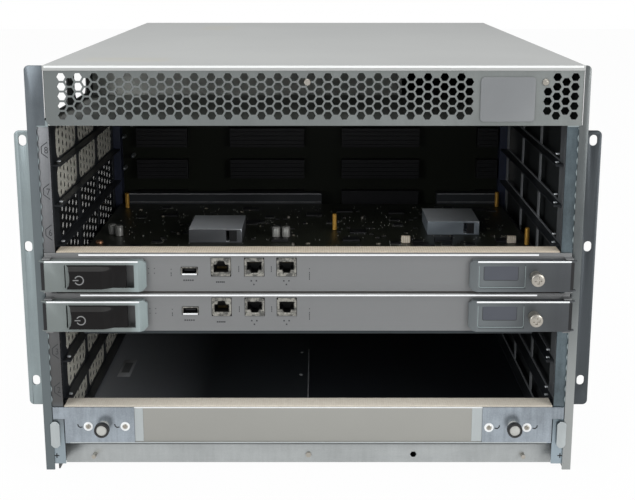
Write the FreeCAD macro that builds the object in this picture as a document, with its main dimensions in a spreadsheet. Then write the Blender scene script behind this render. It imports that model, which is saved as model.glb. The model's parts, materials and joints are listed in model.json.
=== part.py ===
"""Eight-slot modular switch chassis for a 19-inch rack.

Millimetres. +X is to the right seen from the port side, +Y runs into the chassis, +Z is up.
Sketches are drawn with Y counted from the plane of the front flanges; the finished pieces are
then set back together, so that the origin is the middle of the underside, midway between the
two rows of rack holes and halfway along the chassis. Two control blades sit in slots 5 and 4, a filler panel closes slot 1, and
slots 8, 7, 6, 3 and 2 are empty. Blowers and power supplies are drawn out at the rear.
"""

import FreeCAD
import Part
import math
import os

import Sketcher

doc = FreeCAD.newDocument("ModularSwitch")
sheet = doc.addObject("Spreadsheet::Sheet", "Sizes")

SIZES = {
    # Chassis envelope
    "chassis_height": 346.7,
    "chassis_depth": 610.5,
    "body_width": 437.4,
    "body_shift": 2.7,
    "cover_width": 433.0,
    "cover_overhang": 1.0,
    "cover_hem": 3.0,
    "sheet_metal": 1.2,
    # Front flanges, slot strips and rack ears
    "flange_span": 452.6,
    "flange_sheet": 1.5,
    "flange_band": 7.5,
    "flange_corner": 4.0,
    "opening_width": 418.6,
    "strip_foot": 5.0,
    "tab_height": 24.0,
    "tab_width": 8.0,
    "tab_corner": 2.5,
    "tab_drop": 2.0,
    "ear_span": 478.4,
    "ear_hole_span": 465.1,
    "ear_sheet": 2.0,
    "ear_setback": 8.0,
    "ear_leg": 34.0,
    "ear_bottom": 57.0,
    "ear_top": 293.4,
    "ear_corner": 4.0,
    "ear_top_hole": 285.4,
    "ear_pitch_upper": 88.9,
    "ear_pitch_lower": 117.475,
    "ear_slot_width": 6.4,
    "ear_slot_height": 9.0,
    # Card cage
    "slot_base": 22.5,
    "slot_pitch": 34.3,
    "slot_count": 8,
    "cage_floor_height": 18.5,
    "guide_sheet": 1.2,
    "guide_start": 24.0,
    "window_start": 42.0,
    "window_rib": 6.9,
    "window_margin": 7.7,
    "window_columns": 3,
    "window_height": 29.0,
    "window_lift": 1.2,
    "window_corner": 6.0,
    "rail_reach": 7.0,
    "rail_sheet": 1.6,
    "screen_sheet": 0.8,
    "screen_margin": 3.0,
    # Top bay and its grille
    "bay_floor_height": 298.5,
    "bay_bulkhead_setback": 210.0,
    "bay_bulkhead_width": 300.0,
    "bay_window_start": 32.0,
    "bay_window_width": 58.0,
    "bay_window_pitch": 89.0,
    "bay_window_count": 3,
    "bay_window_sill": 5.6,
    "bay_window_height": 31.5,
    "grille_side_gap": 1.0,
    "grille_corner": 3.5,
    "hex_flats": 6.2,
    "hex_column_pitch": 6.66,
    "hex_row_pitch": 7.72,
    "hex_rows": 5,
    "hex_columns": 50,
    "hex_field_start": 13.6,
    "hex_right_start": 28.2,
    "hex_right_pitch": 7.2,
    "badge_width": 43.9,
    "badge_height": 35.8,
    "badge_thickness": 1.5,
    "badge_corner": 3.0,
    "badge_right": 38.3,
    "badge_drop": 2.4,
    "screw_radius": 2.6,
    "screw_height": 1.6,
    "grille_screw_drop": 13.3,
    "grille_screw_right": 30.4,
    "grille_screw_middle": 0.3,
    # Bottom bar
    "bar_height": 17.0,
    "bar_setback": 16.0,
    "bar_end_gap": 2.8,
    "stud_span": 374.0,
    "stud_height": 6.0,
    "stud_radius": 2.0,
    "bar_hole_x": 91.7,
    "bar_hole": 5.0,
    # Blades
    "blade_gap": 0.3,
    "face_height": 32.8,
    "face_width": 436.6,
    "face_sheet": 1.2,
    "return_depth": 22.0,
    "side_play": 0.7,
    "board_height": 7.6,
    "board_sheet": 1.6,
    "board_start": 2.4,
    "standoff": 5.0,
    "standoff_front": 60.0,
    "standoff_inset": 26.0,
    "board_inset": 3.0,
    "plug_left_inset": 11.4,
    "plug_right_inset": 5.6,
    "plug_drop": 3.0,
    "blade_depth": 316.0,
    "gasket_thickness": 0.6,
    "gasket_depth": 19.0,
    "plug_depth": 11.0,
    "plug_height": 15.0,
    "plug_left_width": 209.5,
    "plug_right_width": 66.2,
    "backplane_sheet": 3.0,
    "socket_height": 21.5,
    "post_width": 9.0,
    "post_depth": 14.0,
    "socket_depth": 11.5,
    "socket_lift": 1.0,
    # Blade ports
    "jack_width": 16.2,
    "jack_height": 15.6,
    "jack_depth": 15.0,
    "jack_lift": 13.4,
    "jack_mouth_width": 11.8,
    "jack_mouth_height": 8.4,
    "jack_latch_width": 5.6,
    "jack_latch_height": 2.6,
    "jack_proud": 0.5,
    "jack_first": 72.2,
    "jack_second": 44.6,
    "jack_third": 17.8,
    "usb_width": 13.6,
    "usb_height": 6.6,
    "usb_wall": 0.6,
    "usb_depth": 14.0,
    "usb_centre": 98.4,
    "usb_lift": 14.6,
    "port_play": 0.2,
    # Ejector levers
    "lever_lift": 2.4,
    "lever_height": 26.3,
    "lever_sheet": 1.2,
    "lever_front": 9.5,
    "lever_back": 1.2,
    "lever_outer": 216.2,
    "lever_tip": 221.2,
    "lever_shoulder": 139.5,
    "lever_inner": 133.6,
    "lever_corner": 3.0,
    "pivot_x": 214.6,
    "pivot_front": 5.0,
    "pivot_radius": 1.5,
    "pivot_play": 0.05,
    "ear_tab_width": 6.6,
    "recess_inner": 141.6,
    "recess_outer": 179.0,
    "recess_height": 21.2,
    "recess_depth": 0.6,
    "switch_left": 199.0,
    "switch_right": 143.0,
    "switch_window": 19.4,
    "switch_travel": 6.0,
    "switch_proud": 4.2,
    "switch_play": 0.4,
    "thumb_x": 186.9,
    "thumb_lift": 15.9,
    "thumb_radius": 5.6,
    "thumb_length": 14.2,
    # Slot 1 filler
    "filler_lift": 1.6,
    "filler_setback": 1.2,
    "filler_bracket_inner": 148.8,
    "filler_bracket_notch": 212.4,
    "filler_depth": 20.0,
    "knob_x": 175.0,
    "knob_radius": 6.4,
    "knob_length": 13.0,
    # Board furniture
    "can_width": 50.0,
    "can_depth": 62.0,
    "can_height": 13.0,
    "can_left_x": 88.0,
    "can_left_y": 136.0,
    "can_right_x": 139.0,
    "can_right_y": 169.0,
    # Rear modules
    "rear_border": 7.0,
    "rear_mullion": 6.0,
    "supply_base": 22.0,
    "supply_height": 88.0,
    "supply_gap": 37.5,
    "blower_base": 118.0,
    "blower_height": 172.0,
    "blower_depth": 120.0,
    "module_play": 0.3,
    "module_lip": 4.0,
    "inlet_width": 27.6,
    "inlet_height": 20.0,
    "inlet_depth": 16.0,
    "vent_height": 4.6,
    "vent_pitch": 10.0,
    "pull_width": 70.0,
    "pull_reach": 22.0,
    "pull_bar": 7.0,
    "impeller_radius": 62.0,
    "impeller_hub": 24.0,
    "impeller_depth": 42.0,
    "impeller_blades": 9,
    "impeller_blade": 2.4,
    "axle_radius": 4.0,
    "axle_play": 0.05,
}

for row, (alias, number) in enumerate(SIZES.items(), start=1):
    sheet.set(f"A{row}", alias.replace("_", " "))
    sheet.set(f"B{row}", str(number))
    sheet.setAlias(f"B{row}", alias)
doc.recompute()


class Dim:
    """A length worked out from the sheet: its present value, and the expression that binds it."""

    def __init__(self, value, text):
        self.value = value
        self.text = text

    def __add__(self, other):
        other = dim(other)
        return Dim(self.value + other.value, f"({self.text} + {other.text})")

    def __radd__(self, other):
        return dim(other) + self

    def __sub__(self, other):
        other = dim(other)
        return Dim(self.value - other.value, f"({self.text} - {other.text})")

    def __rsub__(self, other):
        return dim(other) - self

    def __mul__(self, other):
        other = dim(other)
        return Dim(self.value * other.value, f"({self.text} * {other.text})")

    def __rmul__(self, other):
        return dim(other) * self

    def __truediv__(self, other):
        other = dim(other)
        return Dim(self.value / other.value, f"({self.text} / {other.text})")

    def __neg__(self):
        return 0 - self


def dim(number):
    """A Dim as it is, or a plain number as one."""
    return number if isinstance(number, Dim) else Dim(float(number), repr(number))


class Sheet:
    """Reads the sheet's cells by alias, as S.slot_pitch."""

    def __getattr__(self, alias):
        return Dim(float(sheet.get(alias)), f"Sizes.{alias}")

    def count(self, alias):
        return int(round(float(sheet.get(alias))))


S = Sheet()
NODES = []


# ---------------------------------------------------------------- modelling helpers

PLANE_SIGN = {"XY": 1, "XZ": -1, "YZ": 1}


def body(name):
    """A new PartDesign body, whose label names its STEP file."""
    made = doc.addObject("PartDesign::Body", name)
    made.Label = name
    NODES.append(made)
    return made


def origin_item(owner, role):
    return [item for item in owner.Origin.OriginFeatures if item.Role == role][0]


def attach(owner, plane, offset):
    """A sketch on one of the body's origin planes, moved along the plane's normal."""
    sketch = owner.newObject("Sketcher::SketchObject", "Sketch")
    sketch.AttachmentSupport = [(origin_item(owner, plane + "_Plane"), "")]
    sketch.MapMode = "FlatFace"
    sketch.setExpression("AttachmentOffset.Base.z", offset.text)
    return sketch


def place_point(sketch, geometry, position, point):
    """Ties one point of the sketch to the origin in both directions."""
    for kind, distance in zip(("DistanceX", "DistanceY"), point):
        distance = dim(distance)
        index = sketch.addConstraint(
            Sketcher.Constraint(kind, -1, 1, geometry, position, distance.value)
        )
        sketch.setExpression(f"Constraints[{index}]", distance.text)


def add_outline(sketch, points):
    """A closed run of straight edges through the points."""
    first = sketch.GeometryCount
    vectors = [FreeCAD.Vector(dim(u).value, dim(v).value, 0) for u, v in points]
    for here, there in zip(vectors, vectors[1:] + vectors[:1]):
        sketch.addGeometry(Part.LineSegment(here, there))
    for index in range(len(points)):
        following = first + (index + 1) % len(points)
        sketch.addConstraint(Sketcher.Constraint("Coincident", first + index, 2, following, 1))
    for index, point in enumerate(points):
        place_point(sketch, first + index, 1, point)


def add_circle(sketch, centre, radius):
    radius = dim(radius)
    vector = FreeCAD.Vector(dim(centre[0]).value, dim(centre[1]).value, 0)
    index = sketch.addGeometry(Part.Circle(vector, FreeCAD.Vector(0, 0, 1), radius.value))
    place_point(sketch, index, 3, centre)
    bound = sketch.addConstraint(Sketcher.Constraint("Radius", index, radius.value))
    sketch.setExpression(f"Constraints[{bound}]", radius.text)


def draw(sketch, outlines, circles):
    for points in outlines:
        add_outline(sketch, points)
    for centre, radius in circles:
        add_circle(sketch, centre, radius)


def pad(owner, plane, low, high, outlines=(), circles=()):
    """Adds material between two heights on the axis across the plane."""
    low, high = dim(low), dim(high)
    offset = low if PLANE_SIGN[plane] > 0 else -high
    sketch = attach(owner, plane, offset)
    draw(sketch, outlines, circles)
    feature = owner.newObject("PartDesign::Pad", "Pad")
    feature.Profile = sketch
    feature.setExpression("Length", (high - low).text)
    return feature


def pocket(owner, plane, low, high, outlines=(), circles=()):
    """Removes material between two heights on the axis across the plane."""
    low, high = dim(low), dim(high)
    offset = high if PLANE_SIGN[plane] > 0 else -low
    sketch = attach(owner, plane, offset)
    draw(sketch, outlines, circles)
    feature = owner.newObject("PartDesign::Pocket", "Pocket")
    feature.Profile = sketch
    feature.setExpression("Length", (high - low).text)
    return feature


def repeat(owner, feature, axis, count, spacing, second=None):
    """Repeats a feature along an axis, and along a second axis where one is given."""
    pattern = owner.newObject("PartDesign::LinearPattern", "LinearPattern")
    pattern.Originals = [feature]
    pattern.Direction = (origin_item(owner, axis + "_Axis"), [""])
    pattern.Mode = "Spacing"
    pattern.setExpression("Offset", dim(spacing).text)
    pattern.setExpression("Occurrences", dim(count).text)
    if second:
        pattern.Direction2 = (origin_item(owner, second[0] + "_Axis"), [""])
        pattern.Mode2 = "Spacing"
        pattern.setExpression("Offset2", dim(second[2]).text)
        pattern.setExpression("Occurrences2", dim(second[1]).text)
    owner.Tip = pattern
    return pattern


def rectangle(left, right, low, high):
    return [(left, low), (right, low), (right, high), (left, high)]


def clipped(left, right, low, high, corner):
    """A rectangle with its four corners cut at 45 degrees."""
    return [
        (left + corner, low),
        (right - corner, low),
        (right, low + corner),
        (right, high - corner),
        (right - corner, high),
        (left + corner, high),
        (left, high - corner),
        (left, low + corner),
    ]


def hexagon(centre_x, centre_z, flats):
    """A hexagon with flats above and below."""
    radius = flats / math.sqrt(3)
    half = flats / 2
    return [
        (centre_x + radius, centre_z),
        (centre_x + radius / 2, centre_z + half),
        (centre_x - radius / 2, centre_z + half),
        (centre_x - radius, centre_z),
        (centre_x - radius / 2, centre_z - half),
        (centre_x + radius / 2, centre_z - half),
    ]


def round_corners(owner, axis, spots, radius):
    """Fillets the edges that run along an axis through the given spots (the other two axes)."""
    doc.recompute()
    others = [index for index in range(3) if index != "XYZ".index(axis)]
    names = []
    for number, edge in enumerate(owner.Tip.Shape.Edges, start=1):
        ends = [vertex.Point for vertex in edge.Vertexes]
        if len(ends) < 2 or abs(ends[1][others[0]] - ends[0][others[0]]) > 0.001:
            continue
        if abs(ends[1][others[1]] - ends[0][others[1]]) > 0.001:
            continue
        for spot in spots:
            here = [dim(value).value for value in spot]
            near = [abs(ends[0][index] - value) < 0.01 for index, value in zip(others, here)]
            if all(near):
                names.append(f"Edge{number}")
    if not names:
        raise RuntimeError(f"{owner.Label}: no edge to round")
    feature = owner.newObject("PartDesign::Fillet", "Fillet")
    feature.Base = (owner.Tip if owner.Tip != feature else feature.BaseFeature, names)
    feature.setExpression("Radius", dim(radius).text)
    return feature


def plate(name, x, y, z):
    """A flat rectangular piece between low and high limits on each axis."""
    owner = body(name)
    pad(owner, "XY", z[0], z[1], [rectangle(x[0], x[1], y[0], y[1])])
    return owner


def block(x, y, z):
    """A Part box between low and high limits on each axis, for use in a group."""
    made = doc.addObject("Part::Box", "Block")
    for size, base, limits in (("Length", "x", x), ("Width", "y", y), ("Height", "z", z)):
        low, high = dim(limits[0]), dim(limits[1])
        made.setExpression(size, (high - low).text)
        made.setExpression(f"Placement.Base.{base}", low.text)
    return made


def rod(axis, centre, low, high, radius):
    """A Part cylinder along X, Y or Z between two heights, for use in a group."""
    made = doc.addObject("Part::Cylinder", "Rod")
    low, high = dim(low), dim(high)
    turns = {
        "X": FreeCAD.Rotation(FreeCAD.Vector(0, 1, 0), 90),
        "Y": FreeCAD.Rotation(FreeCAD.Vector(1, 0, 0), -90),
        "Z": FreeCAD.Rotation(),
    }
    made.Placement = FreeCAD.Placement(FreeCAD.Vector(0, 0, 0), turns[axis])
    made.setExpression("Radius", dim(radius).text)
    made.setExpression("Height", (high - low).text)
    others = [name for name in "XYZ" if name != axis]
    for name, value in zip(others + [axis], list(centre) + [low]):
        made.setExpression(f"Placement.Base.{name.lower()}", dim(value).text)
    return made


def hex_head(centre, low, high, radius):
    """A Part prism with six sides along Y, for a screw head or stud in a group."""
    made = doc.addObject("Part::Prism", "Head")
    low, high = dim(low), dim(high)
    made.Polygon = 6
    turn = FreeCAD.Rotation(FreeCAD.Vector(1, 0, 0), -90)
    made.Placement = FreeCAD.Placement(FreeCAD.Vector(0, 0, 0), turn)
    made.setExpression("Circumradius", dim(radius).text)
    made.setExpression("Height", (high - low).text)
    for name, value in zip("xyz", (centre[0], low, centre[1])):
        made.setExpression(f"Placement.Base.{name}", dim(value).text)
    return made


def group(name, members):
    """Several separate solids of one kind under one name."""
    made = doc.addObject("Part::Compound", name)
    made.Label = name
    made.Links = members
    NODES.append(made)
    return made


def fused(name, members):
    """Several primitives joined into one solid."""
    made = doc.addObject("Part::MultiFuse", name)
    made.Label = name
    made.Shapes = members
    made.Refine = True
    NODES.append(made)
    return made


def cut(name, base, tool):
    """A primitive with another taken out of it."""
    made = doc.addObject("Part::Cut", name)
    made.Base = base
    made.Tool = tool
    return made


# ---------------------------------------------------------------- places shared by the pieces

top = S.chassis_height
under_cover = top - S.sheet_metal
body_left = S.body_shift - S.body_width / 2
body_right = S.body_shift + S.body_width / 2
inner_left = body_left + S.sheet_metal
inner_right = body_right - S.sheet_metal
cover_left = body_right - S.cover_width
opening = S.opening_width / 2
flange_edge = S.flange_span / 2
band_inner = flange_edge - S.flange_band
strip_front = S.flange_sheet
strip_back = S.flange_sheet * 2
screen_left = inner_left + S.screen_sheet
guide_face = -(screen_left + S.guide_sheet)
guide_outer = guide_face + S.guide_sheet
plug_back = S.face_sheet + S.blade_depth + S.plug_depth
cage_back = plug_back + S.blade_gap + S.socket_depth
guide_end = cage_back - S.post_depth
window_run = guide_end - S.window_margin - S.window_start
window_pitch = (window_run + S.window_rib) / S.window_columns
window_width = window_pitch - S.window_rib
cage_floor_top = S.cage_floor_height + S.sheet_metal
cage_top = S.bay_floor_height
bay_floor_top = cage_top + S.sheet_metal
bay_left = cover_left + S.sheet_metal
rear_face = S.chassis_depth


def slot_z(number):
    """Height of the bottom of a slot, counted from 1 at the bottom."""
    return S.slot_base + S.slot_pitch * (number - 1)


# ---------------------------------------------------------------- outer sheet metal

# Side walls. The left one joggles inwards above the card cage, to meet the narrower cover,
# and is open beside the cage, where the intake screen covers it, and beside the top bay.
left_wall = body("left_side_wall")
joggle = cover_left - body_left
bend = S.sheet_metal * math.tan(math.pi / 8)
pad(left_wall, "XZ", strip_back, rear_face, [[
    (body_left, 0),
    (inner_left, 0),
    (inner_left, bay_floor_top),
    (bay_left, bay_floor_top + joggle),
    (bay_left, under_cover),
    (cover_left, under_cover),
    (cover_left, bay_floor_top + joggle + bend),
    (body_left, bay_floor_top + bend),
]])
intake_start = S.window_start - S.window_corner / 2
intake_end = S.window_start + window_pitch * (S.window_columns - 1) + window_width
intake_low = S.slot_base + S.window_lift
intake_high = slot_z(S.slot_count) + S.window_lift + S.window_height
pocket(left_wall, "YZ", body_left - 1, inner_left + 1,
       [rectangle(intake_start, intake_end, intake_low, intake_high)])
bay_sill = bay_floor_top + S.bay_window_sill
bay_window = pocket(
    left_wall, "YZ", cover_left - 1, cover_left + S.sheet_metal + 1,
    [clipped(S.bay_window_start, S.bay_window_start + S.bay_window_width,
             bay_sill, bay_sill + S.bay_window_height, S.window_corner)],
)
repeat(left_wall, bay_window, "Y", S.bay_window_count, S.bay_window_pitch)

plate("right_side_wall", (inner_right, body_right), (strip_back, rear_face), (0, under_cover))

# Bottom pan, whose front edge turns up into the bar that is seen below slot 1.
bottom_pan = body("bottom_pan")
bar_left = inner_left + S.bar_end_gap
bar_right = -bar_left
pan_back = rear_face - S.sheet_metal
pad(bottom_pan, "YZ", bar_left, bar_right, [[
    (S.bar_setback, 0),
    (pan_back, 0),
    (pan_back, S.sheet_metal),
    (S.bar_setback + S.sheet_metal, S.sheet_metal),
    (S.bar_setback + S.sheet_metal, S.bar_height),
    (S.bar_setback, S.bar_height),
]])
for side_low, side_high in ((inner_left, bar_left), (bar_right, inner_right)):
    pad(bottom_pan, "XY", 0, S.sheet_metal,
        [rectangle(side_low, side_high, S.bar_setback + S.sheet_metal * 3, pan_back)])
stud_z = S.bar_height / 2 - 1
pocket(bottom_pan, "XZ", S.bar_setback - 1, S.bar_setback + S.sheet_metal + 1,
       [hexagon(S.bar_hole_x, stud_z, S.bar_hole)])

plate("cage_floor", (inner_left + S.screen_sheet, inner_right),
      (S.bar_setback + S.sheet_metal, cage_back),
      (S.cage_floor_height, cage_floor_top))

# Cover, hemmed down along its front edge.
top_cover = body("top_cover")
pad(top_cover, "YZ", cover_left, body_right, [[
    (-S.cover_overhang, under_cover - S.cover_hem),
    (0, under_cover - S.cover_hem),
    (0, under_cover),
    (rear_face, under_cover),
    (rear_face, top),
    (-S.cover_overhang, top),
]])

# Floor of the top bay, turned up into a bulkhead behind the grille.
bay_floor = body("top_bay_floor")
pad(bay_floor, "XY", cage_top, bay_floor_top, [[
    (bay_left, S.sheet_metal),
    (inner_right, S.sheet_metal),
    (inner_right, cage_back),
    (inner_left, cage_back),
    (inner_left, strip_back),
    (bay_left, strip_back),
]])
pad(bay_floor, "XZ", S.bay_bulkhead_setback, S.bay_bulkhead_setback + S.sheet_metal,
    [rectangle(bay_left, bay_left + S.bay_bulkhead_width, bay_floor_top, under_cover)])

# Rear frame: a sheet with an opening for each module.
rear_frame = body("rear_frame")
rear_low = S.sheet_metal
pad(rear_frame, "XZ", rear_face - S.sheet_metal, rear_face,
    [[(inner_left, rear_low), (inner_right, rear_low), (inner_right, under_cover),
      (bay_left, under_cover), (bay_left, bay_floor_top + joggle), (inner_left, bay_floor_top)]])
module_middle = (inner_left + inner_right) / 2
module_sides = {
    "left": (inner_left + S.rear_border, module_middle - S.rear_mullion / 2),
    "right": (module_middle + S.rear_mullion / 2, inner_right - S.rear_border),
}
for side in module_sides.values():
    for base, height in ((S.supply_base, S.supply_height), (S.blower_base, S.blower_height)):
        pocket(rear_frame, "XZ", rear_face - S.sheet_metal - 1, rear_face + 1,
               [rectangle(side[0], side[1], base, base + height)])


# ---------------------------------------------------------------- front grille

# Hexagonal vents in staggered columns: odd columns hold one vent more than even ones.
grille_left = cover_left + S.grille_side_gap
grille_right = body_right - S.grille_side_gap
grille_middle = (cage_top + under_cover) / 2
grille = body("front_grille")
pad(grille, "XZ", 0, S.sheet_metal, [[
    (grille_left + S.grille_corner, cage_top),
    (grille_right, cage_top),
    (grille_right, under_cover),
    (grille_left, under_cover),
    (grille_left, cage_top + S.grille_corner),
]])


def vent_column(centre_x, rows, missing=0):
    """Hexagons of one column, centred on the grille's height, less some at its top."""
    lowest = grille_middle - S.hex_row_pitch * (rows - 1) / 2
    return [
        hexagon(centre_x, lowest + S.hex_row_pitch * number, S.hex_flats)
        for number in range(rows - missing)
    ]


def vent_pocket(outlines):
    return pocket(grille, "XZ", -1, S.sheet_metal + 1, outlines)


vent_rows = S.count("hex_rows")
first_column = grille_left + S.hex_field_start
for shift, rows in ((0, vent_rows), (1, vent_rows - 1)):
    column = vent_pocket(vent_column(first_column + S.hex_column_pitch * shift, rows))
    repeat(grille, column, "X", S.hex_columns / 2, S.hex_column_pitch * 2)
right_column = grille_right - S.hex_right_start
vent_pocket(
    vent_column(right_column, vent_rows - 1, missing=1)
    + vent_column(right_column + S.hex_right_pitch, vent_rows)
    + vent_column(right_column + S.hex_right_pitch * 2, vent_rows - 1)
    + vent_column(right_column + S.hex_right_pitch * 3, vent_rows)
)

# Bare badge plate with rounded corners.
badge = body("badge_plate")
badge_right = grille_right - S.badge_right
badge_left = badge_right - S.badge_width
badge_low = grille_middle - S.badge_drop - S.badge_height / 2
badge_high = badge_low + S.badge_height
pad(badge, "XZ", -S.badge_thickness, 0, [rectangle(badge_left, badge_right, badge_low, badge_high)])
round_corners(badge, "Y", [(badge_left, badge_low), (badge_right, badge_low),
                           (badge_right, badge_high), (badge_left, badge_high)], S.badge_corner)

grille_screw_z = top - S.grille_screw_drop
bar_front = S.bar_setback
group("chassis_screws", [
    hex_head((-S.grille_screw_middle, grille_screw_z), -S.screw_height, 0, S.screw_radius),
    hex_head((grille_right - S.grille_screw_right, grille_screw_z), -S.screw_height, 0,
             S.screw_radius),
    hex_head((-S.stud_span / 2, stud_z), bar_front - S.stud_height, bar_front, S.stud_radius),
    hex_head((S.stud_span / 2, stud_z), bar_front - S.stud_height, bar_front, S.stud_radius),
    hex_head((0, stud_z), bar_front - S.screw_height, bar_front, S.screw_radius),
])


# ---------------------------------------------------------------- flanges, slot strips, ears

for side, sign in (("left", -1), ("right", 1)):
    # Flange: a full-height band that widens beside the grille, with a rounded top corner.
    inner_top = cover_left if sign < 0 else body_right
    flange = body(f"{side}_front_flange")
    outer = flange_edge * sign
    step = band_inner * sign
    outline = [(outer, 0), (step, 0), (step, cage_top), (inner_top, cage_top),
               (inner_top, top), (outer, top)]
    pad(flange, "XZ", 0, S.flange_sheet, [outline])
    round_corners(flange, "Y", [(outer, top)], S.flange_corner)

    # Slot strip behind the band, down both sides of the card cage.
    strip = body(f"{side}_slot_strip")
    wall = (body_left if sign < 0 else body_right) * 1
    strip_outer = outer - sign * (S.flange_corner - S.flange_sheet)
    pad(strip, "XZ", strip_front, strip_back,
        [rectangle(strip_outer, opening * sign, S.strip_foot, cage_top)])

    # Rack ear: an angle screwed to the side wall, with three upright slots.
    ear = body(f"{side}_rack_ear")
    tip = S.ear_span / 2 * sign
    leg = wall + sign * S.ear_sheet
    ear_back = S.ear_setback + S.ear_sheet
    pad(ear, "XY", S.ear_bottom, S.ear_top, [[
        (tip, S.ear_setback), (wall, S.ear_setback), (wall, S.ear_setback + S.ear_leg),
        (leg, S.ear_setback + S.ear_leg), (leg, ear_back), (tip, ear_back),
    ]])
    hole_x = S.ear_hole_span / 2 * sign
    hole_z = S.ear_top_hole
    for drop in (0, S.ear_pitch_upper, S.ear_pitch_upper + S.ear_pitch_lower):
        centre = hole_z - drop
        half_run = (S.ear_slot_height - S.ear_slot_width) / 2
        radius = S.ear_slot_width / 2
        for end in (centre - half_run, centre + half_run):
            pocket(ear, "XZ", S.ear_setback - 1, ear_back + 1, circles=[((hole_x, end), radius)])
        pocket(ear, "XZ", S.ear_setback - 1, ear_back + 1,
               [rectangle(hole_x - radius, hole_x + radius, centre - half_run, centre + half_run)])
    round_corners(ear, "Y", [(tip, S.ear_bottom), (tip, S.ear_top)], S.ear_corner)

# Rounded tabs on the strips, which stop the filler panel sideways.
tab_members = []
tab_low = S.slot_base - S.tab_drop
for sign in (-1, 1):
    tab_middle = (opening + S.flange_band) * sign
    tab = doc.addObject("Part::Chamfer", "Tab")
    tab.Base = block((tab_middle - S.tab_width / 2, tab_middle + S.tab_width / 2),
                     (-S.flange_sheet, 0), (tab_low, tab_low + S.tab_height))
    doc.recompute()
    corner = float(sheet.get("tab_corner"))
    tab.Edges = [
        (number, corner, corner)
        for number, edge in enumerate(tab.Base.Shape.Edges, start=1)
        if abs(edge.Length - float(sheet.get("flange_sheet"))) < 0.001
    ]
    tab_members.append(tab)
group("slot_tabs", tab_members)


# ---------------------------------------------------------------- card cage lining

window_low = S.slot_base + S.window_lift
window_high = window_low + S.window_height


def columns(shape, start, width, low, high, *corner):
    """One outline for each of the columns of windows beside a slot."""
    starts = [start + window_pitch * column for column in range(S.count("window_columns"))]
    return [shape(left, left + width, low, high, *corner) for left in starts]


def lining(name, low_x, high_x, outlines):
    """A black lining sheet with a row of windows beside every slot."""
    owner = body(name)
    pad(owner, "YZ", low_x, high_x,
        [rectangle(S.guide_start, guide_end, cage_floor_top, cage_top)])
    windows = pocket(owner, "YZ", low_x - 1, high_x + 1, outlines)
    repeat(owner, windows, "Z", S.slot_count, S.slot_pitch)
    return owner


lining("left_card_guide", -guide_outer, -guide_face,
       columns(clipped, S.window_start, window_width, window_low, window_high, S.window_corner))
lining("right_card_guide", guide_face, guide_outer,
       columns(rectangle, S.window_start, window_width, window_low, window_high))

screen = body("intake_screen")
pad(screen, "YZ", inner_left, screen_left,
    [rectangle(S.guide_start, guide_end, S.strip_foot, cage_top)])
screen_windows = pocket(
    screen, "YZ", inner_left - 1, screen_left + 1,
    columns(rectangle, S.window_start + S.screen_margin, window_width - S.screen_margin * 2,
            window_low + S.screen_margin, window_high - S.screen_margin),
)
repeat(screen, screen_windows, "Z", S.slot_count, S.slot_pitch)

rails = []
for number in range(1, S.count("slot_count") + 1):
    rail_top = slot_z(number)
    for low_x, high_x in ((-guide_face, S.rail_reach - guide_face),
                          (guide_face - S.rail_reach, guide_face)):
        rails.append(block((low_x, high_x), (S.guide_start, guide_end),
                           (rail_top - S.rail_sheet, rail_top)))
group("card_rails", rails)

# Backplane with a row of sockets for every slot, and a post at each end of it.
plate("backplane", (-guide_face, guide_face), (cage_back, cage_back + S.backplane_sheet),
      (cage_floor_top, cage_top))
socket_spans = [
    (guide_face * low, guide_face * high)
    for low, high in ((-0.885, -0.626), (-0.408, -0.031), (0.161, 0.555), (0.85, 0.955))
]
sockets = []
for number in range(1, S.count("slot_count") + 1):
    for low_x, high_x in socket_spans:
        sockets.append(block((low_x, high_x),
                             (plug_back + S.blade_gap, cage_back),
                             (slot_z(number) + S.socket_lift,
                              slot_z(number) + S.socket_height)))
group("backplane_sockets", sockets)
group("backplane_posts", [
    block((-guide_outer, S.post_width - guide_outer), (guide_end, cage_back),
          (cage_floor_top, cage_top)),
    block((guide_outer - S.post_width, guide_outer), (guide_end, cage_back),
          (cage_floor_top, cage_top)),
])


# ---------------------------------------------------------------- control blades

face_half = S.face_width / 2
tray_half = opening - S.side_play
jack_centres = (-S.jack_first, -S.jack_second, -S.jack_third)
pivot_y = -S.pivot_front
lever_face_y = -S.lever_front
lever_back_y = -S.lever_back


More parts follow.
